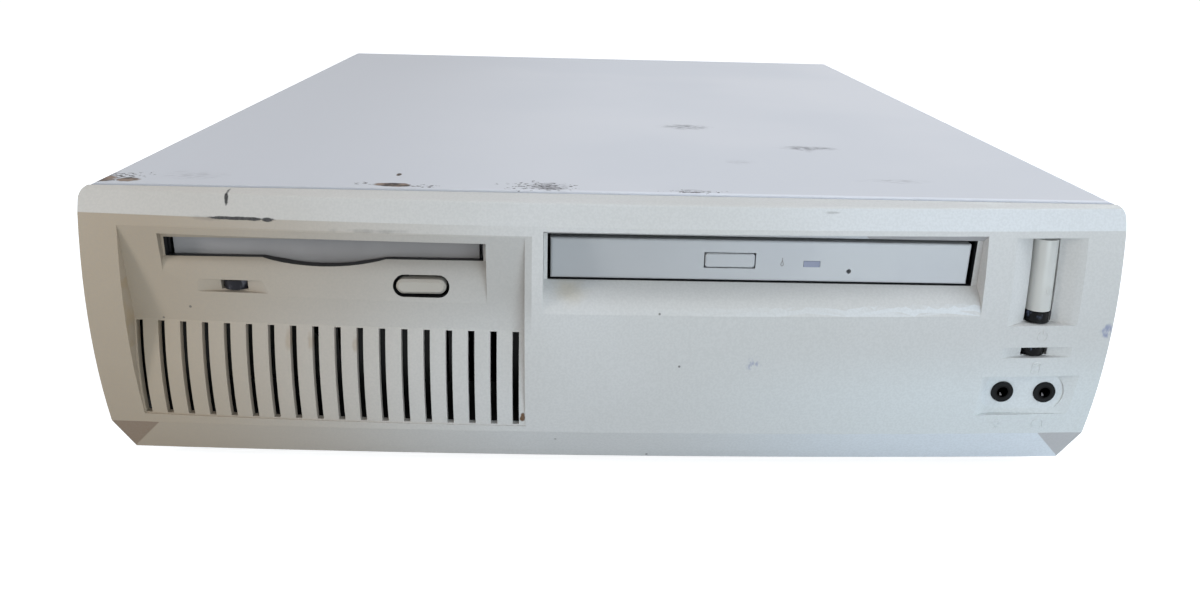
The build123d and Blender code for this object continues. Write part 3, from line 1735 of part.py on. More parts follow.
def usb_ports():
    shape = port_box(usb_x, usb_width, usb_height)
    middle = board_top + usb_height / 2
    inner = port_face_y - usb_opening_depth
    for side in (-1, 1):
        at = Pos(usb_x, middle + side * usb_opening_pitch / 2)
        shape -= along_y(at * Rectangle(usb_opening_width, usb_opening_height), inner, port_face_y)
        lift = Pos(0, (usb_opening_height - usb_tongue_height) / 2 - seat_gap)
        tongue = at * lift * Rectangle(usb_tongue_width, usb_tongue_height)
        shape += along_y(tongue, inner, port_face_y - usb_tongue_setback)
    return shape


def network_port():
    shape = port_box(network_x, network_width, network_height)
    low = board_top + (network_height - network_opening_height) / 2
    inner = port_face_y - network_opening_depth
    half = network_opening_width / 2
    shape -= block(
        network_x - half, network_x + half, inner, port_face_y, low, low + network_opening_height
    )
    latch = network_latch_width / 2
    return shape - block(
        network_x - latch, network_x + latch, inner, port_face_y, low - network_latch_height, low
    )


sound_places = [sound_x + side * sound_pitch / 2 for side in (-1, 1)]
sound_height_z = board_top + sound_height / 2


def sound_ports():
    sockets = []
    for x in sound_places:
        body = block(
            x - sound_width / 2, x + sound_width / 2, rear_inner_y - port_body_depth, rear_inner_y,
            board_top, board_top + sound_height,
        )
        body += rod_y(x, sound_height_z, jack_ring_radius, rear_inner_y, port_face_y)
        body -= rod_y(x, sound_height_z, jack_bore_radius, port_face_y - jack_bore_length, port_face_y)
        sockets.append(body.solid())
    return Compound(sockets)


def slot_cover(z):
    """Blank bracket against the inside of the rear panel, with its bent screw tab."""
    plate = block(
        cover_plate_left, cover_plate_right, rear_inner_y - steel, rear_inner_y,
        z - cover_plate_height / 2, z + cover_plate_height / 2,
    )
    tab = block(
        cover_plate_right - steel, cover_plate_right, rear_inner_y - cover_plate_tab, rear_inner_y,
        z - cover_plate_height / 2, z + cover_plate_height / 2,
    )
    return plate + tab


def slot_covers():
    return Compound([slot_cover(z).solid() for z in card_slot_heights])


def rear_panel():
    top = cover_inner_top - rear_panel_top_gap
    half = pan_inner_half
    front = rear_face_y - rear_panel_return
    outline = polygon([(-half, floor_z), (half, floor_z), (half, top), (-half, top)])
    outline = chamfer(outline.vertices().sort_by(Axis.Y)[:2], pan_bend)
    shape = along_y(outline, front, rear_face_y)
    shape -= block(steel - half, half - steel, front, rear_inner_y, floor_z, top - steel)
    grow = 2 * seat_gap
    holes = [fan_window, inlet_window, selector_window]
    for x, width, shell, _ in dsub_places:
        holes.append(dsub_outline(x, shell + grow, dsub_shell_height + grow))
        post_hole = RegularPolygon(dsub_post_radius + grow, 6)
        holes += [Pos(px, pz) * post_hole for px, pz in post_places(x, width)]
    for x, width, height in (
        (keyboard_x, keyboard_width, 2 * keyboard_height),
        (usb_x, usb_width, usb_height),
        (network_x, network_width, network_height),
    ):
        holes.append(Pos(x, board_top + height / 2) * Rectangle(width + grow, height + grow))
    holes += [Pos(x, sound_height_z) * Circle(jack_ring_radius + seat_gap) for x in sound_places]
    opening = cover_plate_right - cover_plate_left - 2 * cover_plate_tab
    middle = (cover_plate_left + cover_plate_right) / 2
    tall = cover_plate_height - 2 * cover_plate_opening_margin
    holes += [Pos(middle, z) * Rectangle(opening, tall) for z in card_slot_heights]
    screw_hole = Circle(thumbscrew_shank_radius + seat_gap)
    holes += [Pos(side * cover_tab_spread / 2, screw_z) * screw_hole for side in (-1, 1)]
    for hole in holes:
        shape -= along_y(hole, rear_inner_y, rear_face_y)
    return shape


# Each node's name and the function that makes it
nodes = {
    make.__name__: make
    for make in (
        base_pan, rear_panel, drive_cage, top_cover, cover_thumbscrews, rubber_feet, front_bezel,
        floppy_body, floppy_flap, floppy_eject_button, floppy_lens,
        optical_case, optical_tray, optical_tray_front, optical_button, optical_lens,
        optical_spindle, optical_sled, optical_guide_rods,
        power_button, power_lens, drive_lens, power_switch, switch_board, audio_jacks, audio_board,
        hard_drive, speaker,
        main_board, board_standoffs, processor_socket, processor, processor_heatsink,
        processor_fan_frame, processor_fan_rotor, memory_sockets, memory_modules,
        riser_card, card_slots, board_connectors,
        board_chips, board_capacitors, battery_holder, coin_battery,
        drive_ribbons, board_power_lead,
        supply_case, supply_fan_frame, supply_fan_rotor, fan_guard, mains_inlet,
        selector_housing, selector_slider,
        dsub_ports, keyboard_ports, usb_ports, network_port, sound_ports,
        slot_covers,
    )
}

os.makedirs("parts", exist_ok=True)
for name, make in nodes.items():
    export_step(make(), os.path.join("parts", name + ".step"))
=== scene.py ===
import json
from math import cos, pi, radians, sin

import bpy
import bmesh
from mathutils import Matrix, Vector
from mathutils.bvhtree import BVHTree


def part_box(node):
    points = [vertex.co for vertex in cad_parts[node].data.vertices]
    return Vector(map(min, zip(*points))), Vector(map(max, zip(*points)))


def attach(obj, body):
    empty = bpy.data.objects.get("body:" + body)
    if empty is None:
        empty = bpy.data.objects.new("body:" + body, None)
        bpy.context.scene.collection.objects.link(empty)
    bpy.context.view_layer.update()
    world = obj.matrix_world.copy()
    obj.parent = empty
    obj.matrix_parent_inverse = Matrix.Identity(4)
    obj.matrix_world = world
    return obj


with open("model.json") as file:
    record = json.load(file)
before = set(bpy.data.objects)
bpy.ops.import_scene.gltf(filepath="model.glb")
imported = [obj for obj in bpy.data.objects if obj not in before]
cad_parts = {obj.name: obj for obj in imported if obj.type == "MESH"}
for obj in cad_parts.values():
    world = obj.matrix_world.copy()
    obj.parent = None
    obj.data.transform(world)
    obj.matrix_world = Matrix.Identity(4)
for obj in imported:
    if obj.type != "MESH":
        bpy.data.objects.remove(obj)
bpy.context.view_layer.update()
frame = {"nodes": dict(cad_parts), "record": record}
nodes = frame["nodes"]
MM = 0.001


def spot_of(node):
    """Lowest and highest corner of a node in millimetres."""
    low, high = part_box(node)
    return low / MM, high / MM


def linear(red, green, blue):
    """Colour written in 0 to 255 screen steps, as linear light."""
    def step(value):
        share = value / 255
        return share / 12.92 if share <= 0.04045 else ((share + 0.055) / 1.055) ** 2.4
    return step(red), step(green), step(blue)


# Materials: each is put together from procedural nodes over the object's own places
class Shade:
    """One procedural material on a principled shader."""

    def __init__(self, name, rough=0.5, metal=0.0, gloss=0.5):
        self.material = bpy.data.materials.new(name)
        self.material.use_nodes = True
        tree = self.material.node_tree
        self.nodes = tree.nodes
        self.links = tree.links
        self.shader = tree.nodes["Principled BSDF"]
        self.shader.inputs["Roughness"].default_value = rough
        self.shader.inputs["Metallic"].default_value = metal
        self.shader.inputs["Specular IOR Level"].default_value = gloss
        self.place = self.nodes.new("ShaderNodeTexCoord").outputs["Object"]

    def feed(self, socket, value):
        if isinstance(value, bpy.types.NodeSocket):
            self.links.new(value, socket)
        elif isinstance(value, (tuple, list)) and socket.type == "RGBA" and len(value) == 3:
            socket.default_value = (*value, 1.0)
        else:
            socket.default_value = value

    def vector(self, operation, first, second):
        node = self.nodes.new("ShaderNodeVectorMath")
        node.operation = operation
        self.feed(node.inputs[0], first)
        self.feed(node.inputs[1], second)
        return node.outputs["Value" if operation == "LENGTH" else "Vector"]

    def math(self, operation, first, second=0.0):
        node = self.nodes.new("ShaderNodeMath")
        node.operation = operation
        self.feed(node.inputs[0], first)
        self.feed(node.inputs[1], second)
        return node.outputs[0]

    def product(self, *values):
        total = values[0]
        for value in values[1:]:
            total = self.math("MULTIPLY", total, value)
        return total

    def either(self, *masks):
        """The largest of several masks."""
        total = masks[0]
        for mask in masks[1:]:
            total = self.math("MAXIMUM", total, mask)
        return total

    def axis(self, letter, source=None):
        """One part of the place in metres, or of another vector."""
        node = self.nodes.new("ShaderNodeSeparateXYZ")
        self.feed(node.inputs[0], source or self.place)
        return node.outputs[letter]

    def span(self, value, low, high):
        """0 at low, 1 at high, smooth between."""
        node = self.nodes.new("ShaderNodeMapRange")
        node.interpolation_type = "SMOOTHSTEP"
        node.inputs["From Min"].default_value = low
        node.inputs["From Max"].default_value = high
        self.feed(node.inputs["Value"], value)
        return node.outputs["Result"]

    def along(self, letter, low, high):
        """Mask along an axis, 0 at low and 1 at high, in millimetres."""
        return self.span(self.axis(letter), low * MM, high * MM)

    def facing(self, letter, low, high):
        """Mask by the way a face is turned, 0 at low and 1 at high."""
        normal = self.nodes.new("ShaderNodeNewGeometry").outputs["True Normal"]
        return self.span(self.axis(letter, normal), low, high)

    def within(self, left, right, low, high):
        """Mask of an upright window in millimetres, 1 inside."""
        rim = 0.1
        return self.product(
            self.along("X", left, left + rim), self.along("X", right, right - rim),
            self.along("Z", low, low + rim), self.along("Z", high, high - rim),
        )

    def noise(self, scale, detail=3.0, stretch=None):
        node = self.nodes.new("ShaderNodeTexNoise")
        node.inputs["Scale"].default_value = scale
        node.inputs["Detail"].default_value = detail
        place = self.vector("MULTIPLY", self.place, stretch) if stretch else self.place
        self.links.new(place, node.inputs["Vector"])
        return node.outputs["Fac"]

    def cells(self, scale):
        node = self.nodes.new("ShaderNodeTexVoronoi")
        node.inputs["Scale"].default_value = scale
        self.links.new(self.place, node.inputs["Vector"])
        return node.outputs

    def specks(self, scale, size):
        """Round dots scattered over the surface, 1 inside."""
        return self.span(self.cells(scale)["Distance"], size, size * 0.6)

    def blob(self, center, radii, ragged=0.5, grain=300.0, soft=0.3):
        """Mask round a place in millimetres, 1 inside, with a ragged rim."""
        place = self.vector("SUBTRACT", self.place, tuple(c * MM for c in center))
        place = self.vector("MULTIPLY", place, tuple(1 / (r * MM) for r in radii))
        reach = self.vector("LENGTH", place, (0, 0, 0))
        wander = self.math("SUBTRACT", self.noise(grain, 6.0), 0.5)
        rim = self.math("MULTIPLY", wander, 2 * ragged)
        return self.span(self.math("ADD", reach, rim), 1.0, 1.0 - soft)

    def mix(self, share, first, second):
        node = self.nodes.new("ShaderNodeMix")
        node.data_type = "RGBA"
        self.feed(node.inputs[0], share)
        self.feed(node.inputs[6], first)
        self.feed(node.inputs[7], second)
        return node.outputs[2]

    def tinted(self, base, tint, *shares):
        """The base with another colour over it, by the product of the shares."""
        return self.mix(self.product(*shares), base, linear(*tint))

    def colour(self, value):
        self.feed(self.shader.inputs["Base Color"], value)
        return self

    def turn(self, mask, tint):
        """Another colour over the one so far, where the mask is 1."""
        so_far = self.shader.inputs["Base Color"].links[0].from_socket
        return self.colour(self.tinted(so_far, tint, mask))

    def rough(self, value):
        self.feed(self.shader.inputs["Roughness"], value)
        return self

    def bump(self, height, strength, depth):
        node = self.nodes.new("ShaderNodeBump")
        node.inputs["Strength"].default_value = strength
        node.inputs["Distance"].default_value = depth * MM
        self.feed(node.inputs["Height"], height)
        last = self.shader.inputs["Normal"]
        if last.is_linked:
            self.links.new(last.links[0].from_socket, node.inputs["Normal"])
        self.links.new(node.outputs["Normal"], last)
        return self


def plain(name, base, other, rough, metal=0.0, scale=60.0, grain=900.0, depth=0.02, gloss=0.5):
    """Even finish: two near colours in soft clouds over a fine grain."""
    shade = Shade(name, rough, metal, gloss)
    clouds = shade.span(shade.noise(scale), 0.35, 0.65)
    shade.colour(shade.mix(clouds, linear(*base), linear(*other)))
    shade.bump(shade.noise(grain, 2.0), 0.4, depth)
    return shade


def steel_sheet(name, base, other, rough):
    """Zinc coated sheet with a flat spangle."""
    shade = Shade(name, rough, metal=1.0)
    spangle = shade.math("MULTIPLY", shade.cells(140.0)["Color"], 0.8)
    shade.colour(shade.mix(spangle, linear(*base), linear(*other)))
    shade.rough(shade.math("ADD", shade.math("MULTIPLY", shade.noise(90.0), 0.16), rough - 0.08))
    return shade


def cover_paint():
    """Pale textured paint, chipped along the front edge and smudged on top."""
    shade = Shade("cover_paint", rough=0.5)
    top = spot_of("top_cover")[1].z
    mark_height = 8

    def marks(spots, ragged, grain, soft):
        """Patches on the flat top, each given as x, y, half width and half depth."""
        return shade.either(*(
            shade.blob((x, y, top), (across, deep, mark_height), ragged, grain, soft)
            for x, y, across, deep in spots
        ))

    # Paint, with painted shade towards the left and a painted highlight along the front edge
    clouds = shade.span(shade.noise(9.0, 2.0), 0.35, 0.65)
    base = shade.mix(clouds, linear(214, 215, 221), linear(208, 210, 217))
    # Painted shade towards the left
    base = shade.tinted(base, (195, 196, 202), shade.along("X", 20, -130))
    # Painted highlight along the front edge
    edge_highlight = shade.product(shade.along("Y", -171.6, -172.4), shade.along("X", -60, 40))
    base = shade.tinted(base, (236, 238, 248), edge_highlight, 0.7)

    # Stains, smudges and scuffs, broken up by fine streaks
    streaks = shade.span(shade.noise(1000.0, 5.0, stretch=(0.3, 1.0, 1.0)), 0.38, 0.62)
    stains = marks(((-129, -162, 14, 7), (46.8, -126, 8, 4), (94, -151, 15, 4)), 0.8, 160.0, 0.9)
    base = shade.tinted(base, (150, 150, 156), stains, streaks, 0.45)
    smudges = marks(
        ((77.2, -98.6, 14, 5.4), (75.6, -102, 3.6, 5), (34.6, -58.7, 13, 7.5)), 0.45, 170.0, 0.8
    )
    base = shade.tinted(base, (100, 101, 111), smudges, streaks, 0.9)
    scuffs = marks(((-18.8, -167.6, 7.5, 6.5), (25.5, -170.0, 7, 2.6)), 0.5, 300.0, 0.7)
    base = shade.tinted(base, (106, 106, 114), scuffs, streaks, 0.9)

    # Small dark flecks round the chips and scuffs
    pepper = marks(
        (
            (-149, -164, 10, 9), (-76, -168.5, 5, 2.6), (-56, -170.5, 9, 2.6),
            (-21, -168.0, 17, 8), (26, -171.0, 14, 3.6),
        ),
        0.6, 200.0, 0.9,
    )
    fine = shade.math("SUBTRACT", shade.noise(800.0, 5.0, stretch=(0.7, 1.0, 1.0)), 0.62)
    flecks = shade.span(shade.math("ADD", fine, shade.math("MULTIPLY", pepper, 0.14)), 0.03, 0.06)
    base = shade.tinted(base, (44, 42, 48), flecks, shade.span(pepper, 0.02, 0.2))

    # Chips down to brown primer and bare steel
    chips = shade.either(
        marks(((-153.5, -168.5, 5, 4), (-145.5, -169.0, 3.6, 3)), 0.5, 300.0, 0.25),
        marks(((-66.2, -169.3, 6.4, 2.7),), 0.35, 300.0, 0.25),
        marks(((-66.5, -155.5, 0.9, 1.9),), 0.4, 500.0, 0.3),
    )
    rusty = shade.span(shade.noise(260.0, 4.0), 0.4, 0.62)
    bare = shade.mix(rusty, linear(52, 44, 42), linear(134, 116, 104))
    shade.colour(shade.mix(chips, base, bare))
    shade.rough(shade.math("ADD", shade.math("MULTIPLY", chips, 0.3), 0.5))
    shade.bump(shade.noise(1400.0, 2.0), 0.25, 0.03)
    shade.bump(shade.math("SUBTRACT", 1.0, chips), 0.4, 0.1)
    return shade


def socket_pad(shade):
    """Mask of the oval pad round the front sound sockets."""
    pad_x, pad_z, half_length, radius, rim = 133.05, 32.5, 7.6, 6.0, 0.2
    beside = shade.math("ABSOLUTE", shade.math("SUBTRACT", shade.axis("X"), pad_x * MM))
    beside = shade.math("MAXIMUM", shade.math("SUBTRACT", beside, half_length * MM), 0.0)
    above = shade.math("SUBTRACT", shade.axis("Z"), pad_z * MM)
    reach = shade.math("ADD", shade.product(beside, beside), shade.product(above, above))
    return shade.span(shade.math("SQRT", reach), (radius + rim) * MM, (radius - rim) * MM)


def chin_corners(shade):
    """Mask past the two slanted lines that cut the chin's corners."""
    lean_across, lean_up, distance, rim = 0.716, 0.698, 113.5, 0.2
    across = shade.math("MULTIPLY", shade.math("ABSOLUTE", shade.axis("X")), lean_across)
    outward = shade.math("ADD", across, shade.math("MULTIPLY", shade.axis("Z"), lean_up))
    return shade.span(outward, (distance - rim) * MM, (distance + rim) * MM)


def bezel_colour(shade):
    """Pale plastic with painted light and shade: lighter and cooler towards the right, darker and warmer
    towards the left of its upright faces, and darker in the disk panel and on the chin's corner facets.
    """
    clouds = shade.span(shade.noise(14.0, 3.0), 0.35, 0.65)
    base = shade.mix(clouds, linear(213, 212, 211), linear(208, 207, 205))
    # Painted shade in the upper part of the disk panel's recess
    disk_panel_shade = shade.product(shade.within(-142.0, -23.0, 22.0, 83.0), shade.along("Z", 50, 66))
    base = shade.tinted(base, (150, 146, 140), disk_panel_shade, 0.38)
    # Painted light on the lower face, lighter and cooler towards the right
    rightward = shade.along("X", 0, 120)
    base = shade.tinted(base, (230, 236, 238), shade.along("Z", 55, 30), rightward, 0.6)
    # Painted light on the chin, lighter and cooler towards the right
    chin = shade.facing("Z", -0.3, -0.38)
    base = shade.tinted(base, (232, 238, 246), chin, rightward, 0.75)
    # Painted light on the brow, lighter and cooler towards the right
    brow = shade.product(shade.facing("Z", 0.3, 0.35), shade.facing("Z", 0.6, 0.5))
    base = shade.tinted(base, (230, 234, 239), brow, rightward, 0.6)
    base = shade.tinted(base, (226, 230, 233), socket_pad(shade), 0.6)
    # Painted warm shade over the upright faces towards the left, weaker on the brow
    warm_left_shade = shade.mix(clouds, linear(166, 151, 132), linear(162, 146, 126))
    upright = shade.either(shade.facing("Z", 0.33, 0.26), shade.along("Z", 83.2, 82.2), 0.42)
    base = shade.mix(shade.product(upright, shade.along("X", 0, -150)), base, warm_left_shade)
    # Painted shade on the chin's slanted corner facets, brown towards the left
    corner_facet_shade = shade.mix(shade.along("X", -100, 100), linear(126, 106, 86), linear(190, 188, 189))
    return shade.mix(shade.product(chin_corners(shade), chin), base, corner_facet_shade)


def bezel_wear(shade, base):
    """Yellow stain, dirt, smudges, scuffs, a rust spot, specks and grain over the bezel's colour."""
    mark_reach = 14

    def mark(x, y, z, across, up, ragged, grain, soft):
        """Patch seen from the front, in millimetres."""
        return shade.blob((x, y, z), (across, mark_reach, up), ragged, grain, soft)

    stain = mark(-10.5, -178, 64, 9, 6, 0.8, 120.0, 0.9)
    base = shade.tinted(base, (196, 178, 138), stain, 0.35)
    dirt = shade.either(
        mark(-97.8, -178, 47.5, 1.4, 4.5, 0.9, 260.0, 0.7),
        mark(-91.0, -178, 46.5, 1.3, 4.0, 0.9, 260.0, 0.7),
        mark(-77.4, -178, 47.0, 1.2, 4.0, 0.9, 260.0, 0.7),
    )
    base = shade.tinted(base, (150, 122, 88), dirt, 0.35)
    blue = shade.either(
        mark(156.5, -178, 54, 4, 3, 0.7, 220.0, 0.5),
        mark(44.6, -186, 44.8, 2.8, 3.0, 1.0, 300.0, 0.6),
    )
    streaks = shade.span(shade.noise(700.0, 4.0, stretch=(1.0, 1.0, 0.4)), 0.4, 0.6)
    base = shade.tinted(base, (142, 148, 178), blue, streaks, 0.9)
    grey = shade.either(
        mark(-118, -180, 85.4, 7, 0.9, 0.8, 300.0, 0.9),
        mark(-68, -182, 83.3, 14, 0.9, 1.0, 300.0, 0.9),
        mark(66.5, -182, 90.9, 4, 0.5, 0.9, 300.0, 0.8),
    )
    base = shade.tinted(base, (112, 108, 104), grey, 0.4)
    black = shade.either(
        mark(-109, -180, 85.7, 11.5, 0.55, 0.7, 330.0, 0.4),
        mark(-100.6, -180, 85.6, 1.9, 0.7, 0.4, 300.0, 0.4),
        mark(-112.9, -180, 91.3, 0.75, 2.3, 0.7, 330.0, 0.4),
    )
    base = shade.tinted(base, (30, 29, 30), black)
    rust = mark(-26.0, -180, 23.4, 0.9, 1.9, 0.8, 420.0, 0.5)
    base = shade.tinted(base, (88, 58, 26), rust)
    sparse = shade.span(shade.noise(20.0, 2.0), 0.55, 0.62)
    base = shade.tinted(base, (74, 70, 68), shade.specks(95.0, 0.05), sparse, 0.8)
    grain = shade.span(shade.noise(1400.0, 3.0), 0.38, 0.62)
    base = shade.tinted(base, (140, 140, 138), grain, 0.09)
    panel_wall = shade.product(shade.within(-152.0, -134.0, 44.0, 66.0), shade.facing("X", 0.3, 0.5))
    grime = shade.span(shade.noise(220.0, 4.0), 0.35, 0.65)
    return shade.tinted(base, (160, 136, 100), panel_wall, grime, 0.4)


def bezel_plastic():
    """Grained pale plastic, worn outside, with painted shade inside and on the walls round the drives and
    sockets.
    """
    shade = Shade("bezel_plastic", rough=0.55)
    base = bezel_wear(shade, bezel_colour(shade))
    # Painted shade on the faces turned backwards, seen through the openings
    base = shade.tinted(base, (26, 26, 27), shade.facing("Y", 0.15, 0.3))
    # Painted shade on the walls of the openings round the drives and sockets
    shaded_openings = shade.either(
        shade.within(-65.2, -47.8, 62.2, 69.0),
        shade.within(-19.0, 112.3, 67.2, 82.3),
        shade.within(-133.8, -37.8, 70.0, 78.9),
        shade.within(122.7, 145.3, 28.3, 36.3),
    )
    shaded_side_walls = shade.facing("Y", -0.5, -0.3)
    shade.colour(shade.tinted(base, (20, 20, 21), shaded_openings, shaded_side_walls))
    shade.bump(shade.noise(1500.0, 2.0), 0.35, 0.05)
    return shade


def smoked_lens(name, base, bright):
    """Dark clear plastic with a few pale streaks: painted highlights on the dark lens, smudges on the disk
    lens.
    """
    shade = Shade(name, rough=0.2, gloss=0.12)
    streaks = shade.span(shade.noise(330.0, 3.0, stretch=(1.0, 1.0, 0.5)), 0.56, 0.7)
    shade.colour(shade.mix(streaks, linear(*base), linear(*bright)))
    return shade


def drive_front_plastic():
    """Cool grey plastic, with painted shade a little darker towards its left end."""
    shade = plain("drive_front_plastic", (204, 206, 209), (200, 202, 206), rough=0.45)
    # Painted shade towards the left end
    return shade.turn(shade.along("X", 100, -20), (176, 177, 179))


def button_plastic():
    """Smooth pale plastic; the disk eject button has yellowed."""
    shade = plain("button_plastic", (207, 206, 202), (202, 201, 197), rough=0.22)
    low, high = spot_of("floppy_eject_button")
    margin = 2.0
    eject = shade.within(low.x - margin, high.x + margin, low.z - margin, high.z + margin)
    return shade.turn(eject, (178, 171, 161))


def jack_places():
    """Places across of the two front sound sockets, and the height of their middle."""
    low, high = spot_of("audio_jacks")
    radius = (high.z - low.z) / 2
    return (low.x + radius, high.x - radius), low.z + radius


def jack_plastic():
    """Black sockets, with painted shade darkest round their mouths."""
    shade = plain("jack_plastic", (17, 18, 20), (24, 25, 27), rough=0.4, gloss=0.1)
    mouth_y, mouth_reach, mouth_radius = -178, 30, 2.4
    places, level = jack_places()
    radii = (mouth_radius, mouth_reach, mouth_radius)
    mouth_shade = [shade.blob((x, mouth_y, level), radii, ragged=0.0, soft=0.1) for x in places]
    # Painted shade round the socket mouths
    return shade.turn(shade.either(*mouth_shade), (3, 3, 4))


def shaded_black_end(shade, end, dark):
    """Metal turned black where the mask is 1, as painted shade."""
    shade.feed(shade.shader.inputs["Metallic"], shade.math("SUBTRACT", 1.0, end))
    return shade.turn(end, dark)


def case_steel():
    """Zinc coated sheet; the front wall behind the grille is black with painted shade."""
    shade = steel_sheet("case_steel", (188, 190, 192), (160, 163, 166), rough=0.38)
    # Painted shade on the front wall seen through the grille
    front_wall_shade = shade.product(shade.along("Y", -160.6, -161.2), shade.along("Z", 88, 87))
    return shaded_black_end(shade, front_wall_shade, (20, 20, 21))


def drive_metal():
    """Satin drive shells, their front ends black with painted shade for the gaps round the drive fronts."""
    shade = plain("drive_metal", (196, 197, 199), (184, 185, 188), rough=0.35, metal=1.0)
    # Painted shade on the front ends
    return shaded_black_end(shade, shade.along("Y", -165.0, -165.5), (14, 14, 15))


def ribbon_plastic():
    """Flat grey cable with a groove between its wires, darkened with painted shade."""
    shade = Shade("ribbon_plastic", rough=0.5)
    wire_pitch = 1.27
    wires = shade.math("FRACT", shade.math("MULTIPLY", shade.axis("X"), 1 / (wire_pitch * MM)))
    groove = shade.span(shade.math("ABSOLUTE", shade.math("SUBTRACT", wires, 0.5)), 0.34, 0.46)
    clouds = shade.mix(shade.noise(60.0), linear(186, 187, 190), linear(176, 177, 181))
    # Painted shade in the grooves between the wires
    shade.colour(shade.tinted(clouds, (128, 129, 133), groove))
    shade.bump(shade.math("SUBTRACT", 1.0, groove), 0.8, 0.25)
    return shade


looks = {
    "cover_paint": cover_paint(),
    "bezel_plastic": bezel_plastic(),
    "button_plastic": button_plastic(),
    "drive_front_plastic": drive_front_plastic(),
    "dark_lens": smoked_lens("dark_lens", (9, 10, 13), (84, 92, 112)),
    "disk_lens": smoked_lens("disk_lens", (36, 35, 40), (92, 91, 98)),
    "jack_plastic": jack_plastic(),
    "case_steel": case_steel(),
    "supply_steel": steel_sheet("supply_steel", (178, 180, 182), (150, 153, 156), rough=0.4),
    "drive_metal": drive_metal(),
    "ribbon_plastic": ribbon_plastic(),
}
plain_plastics = {
    "flap_plastic": dict(base=(150, 146, 145), other=(145, 141, 140), rough=0.4),
    "optical_lens": dict(base=(142, 147, 168), other=(150, 155, 176), rough=0.25, depth=0.005),
    "foot_rubber": dict(base=(42, 42, 43), other=(52, 52, 53), rough=0.8),
    "tray_plastic": dict(base=(52, 52, 55), other=(60, 60, 63), rough=0.45),
    "black_plastic": dict(base=(34, 34, 35), other=(42, 42, 43), rough=0.45, gloss=0.25),
    "speaker_cone": dict(base=(52, 50, 47), other=(66, 63, 58), rough=0.9, grain=500.0),
    "circuit_board": dict(base=(34, 92, 58), other=(30, 80, 50), rough=0.35, scale=200.0),
    "memory_board": dict(base=(30, 88, 60), other=(26, 76, 50), rough=0.35, scale=200.0),
    "socket_plastic": dict(base=(228, 224, 212), other=(220, 215, 202), rough=0.45),
    "processor_cap": dict(base=(120, 100, 84), other=(110, 92, 78), rough=0.6),
    "connector_plastic": dict(base=(216, 210, 192), other=(206, 200, 182), rough=0.45),
    "chip_plastic": dict(base=(38, 38, 39), other=(46, 46, 47), rough=0.5),
    "capacitor_sleeve": dict(base=(26, 44, 82), other=(32, 52, 92), rough=0.3),
    "lead_plastic": dict(base=(40, 40, 42), other=(52, 52, 54), rough=0.5),
    "selector_plastic": dict(base=(196, 40, 32), other=(184, 34, 28), rough=0.4),
    "port_plastic": dict(base=(52, 52, 56), other=(62, 62, 66), rough=0.45),
}
plain_metals = {
    "screw_steel": dict(base=(205, 205, 205), other=(190, 190, 190), rough=0.25),
    "disk_metal": dict(base=(150, 152, 155), other=(138, 140, 143), rough=0.4),
    "sled_metal": dict(base=(140, 140, 144), other=(125, 125, 130), rough=0.4),
    "spindle_metal": dict(base=(170, 170, 174), other=(155, 155, 160), rough=0.3),
    "rod_steel": dict(base=(215, 215, 218), other=(200, 200, 205), rough=0.15),
    "standoff_brass": dict(base=(198, 168, 92), other=(180, 150, 80), rough=0.3),
    "sink_aluminium": dict(base=(206, 207, 210), other=(192, 193, 197), rough=0.35),
    "battery_steel": dict(base=(206, 206, 204), other=(192, 192, 190), rough=0.25),
    "guard_wire": dict(base=(205, 205, 206), other=(190, 190, 192), rough=0.25),
    "port_steel": dict(base=(198, 198, 200), other=(182, 182, 185), rough=0.3),
}
for name, finish in plain_plastics.items():
    looks[name] = plain(name, **finish)
for name, finish in plain_metals.items():
    looks[name] = plain(name, metal=1.0, **finish)
slot_of = {part["node"]: part["material_slot"] for part in frame["record"]["subparts"]}
for name, node in nodes.items():
    node.data.materials.clear()
    node.data.materials.append(looks[slot_of[name]].material)


# Small pieces on the frame: closed meshes that ride on a body and take a slot's finish
def add_piece(name, shape, body, slot_name):
    bmesh.ops.recalc_face_normals(shape, faces=shape.faces)
    mesh = bpy.data.meshes.new(name)
    shape.to_mesh(mesh)
    shape.free()
    mesh.materials.append(looks[slot_name].material)
    piece = bpy.data.objects.new(name, mesh)
    bpy.context.scene.collection.objects.link(piece)
    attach(piece, body)


def placed(center, axis=(0, 0, 1)):
    """Matrix that stands a shape's Z axis along an axis, at a place in millimetres."""
    turned = Vector(axis).to_track_quat("Z", "Y").to_matrix().to_4x4()
    return Matrix.Translation(Vector(center) * MM) @ turned


def bridge(shape, first, second):
    """Faces between two closed loops with as many points."""
    for index in range(len(first)):
        after = (index + 1) % len(first)
        shape.faces.new((first[index], first[after], second[after], second[index]))


def add_box(shape, low, high):
    """Box between two corners in millimetres."""
    low = Vector(low) * MM
    high = Vector(high) * MM
    made = bmesh.ops.create_cube(shape, size=1.0)
    bmesh.ops.scale(shape, vec=high - low, verts=made["verts"])
    bmesh.ops.translate(shape, vec=(low + high) / 2, verts=made["verts"])


def add_pin(shape, start, end, radius, tip=None, sides=12):
    """Round pin between two points in millimetres, with another radius at its far end where given."""
    start = Vector(start)
    end = Vector(end)
    far = radius if tip is None else tip
    bmesh.ops.create_cone(
        shape, cap_ends=True, segments=sides, radius1=radius * MM, radius2=far * MM,
        depth=(end - start).length * MM, matrix=placed((start + end) / 2, end - start),
    )


def add_ring(shape, center, axis, radius, wire, sides=24):
    """Closed ring of round wire, in millimetres."""
    place = placed(center, axis)
    wire_sides = 8
    loops = []
    for step in range(sides):
        turn = 2 * pi * step / sides
        loop = []
        for part in range(wire_sides):
            tilt = 2 * pi * part / wire_sides
            reach = (radius + wire * cos(tilt)) * MM
            spot = Vector((reach * cos(turn), reach * sin(turn), wire * sin(tilt) * MM))
            loop.append(shape.verts.new(place @ spot))
        loops.append(loop)
    for step in range(sides):
        bridge(shape, loops[step], loops[(step + 1) % sides])


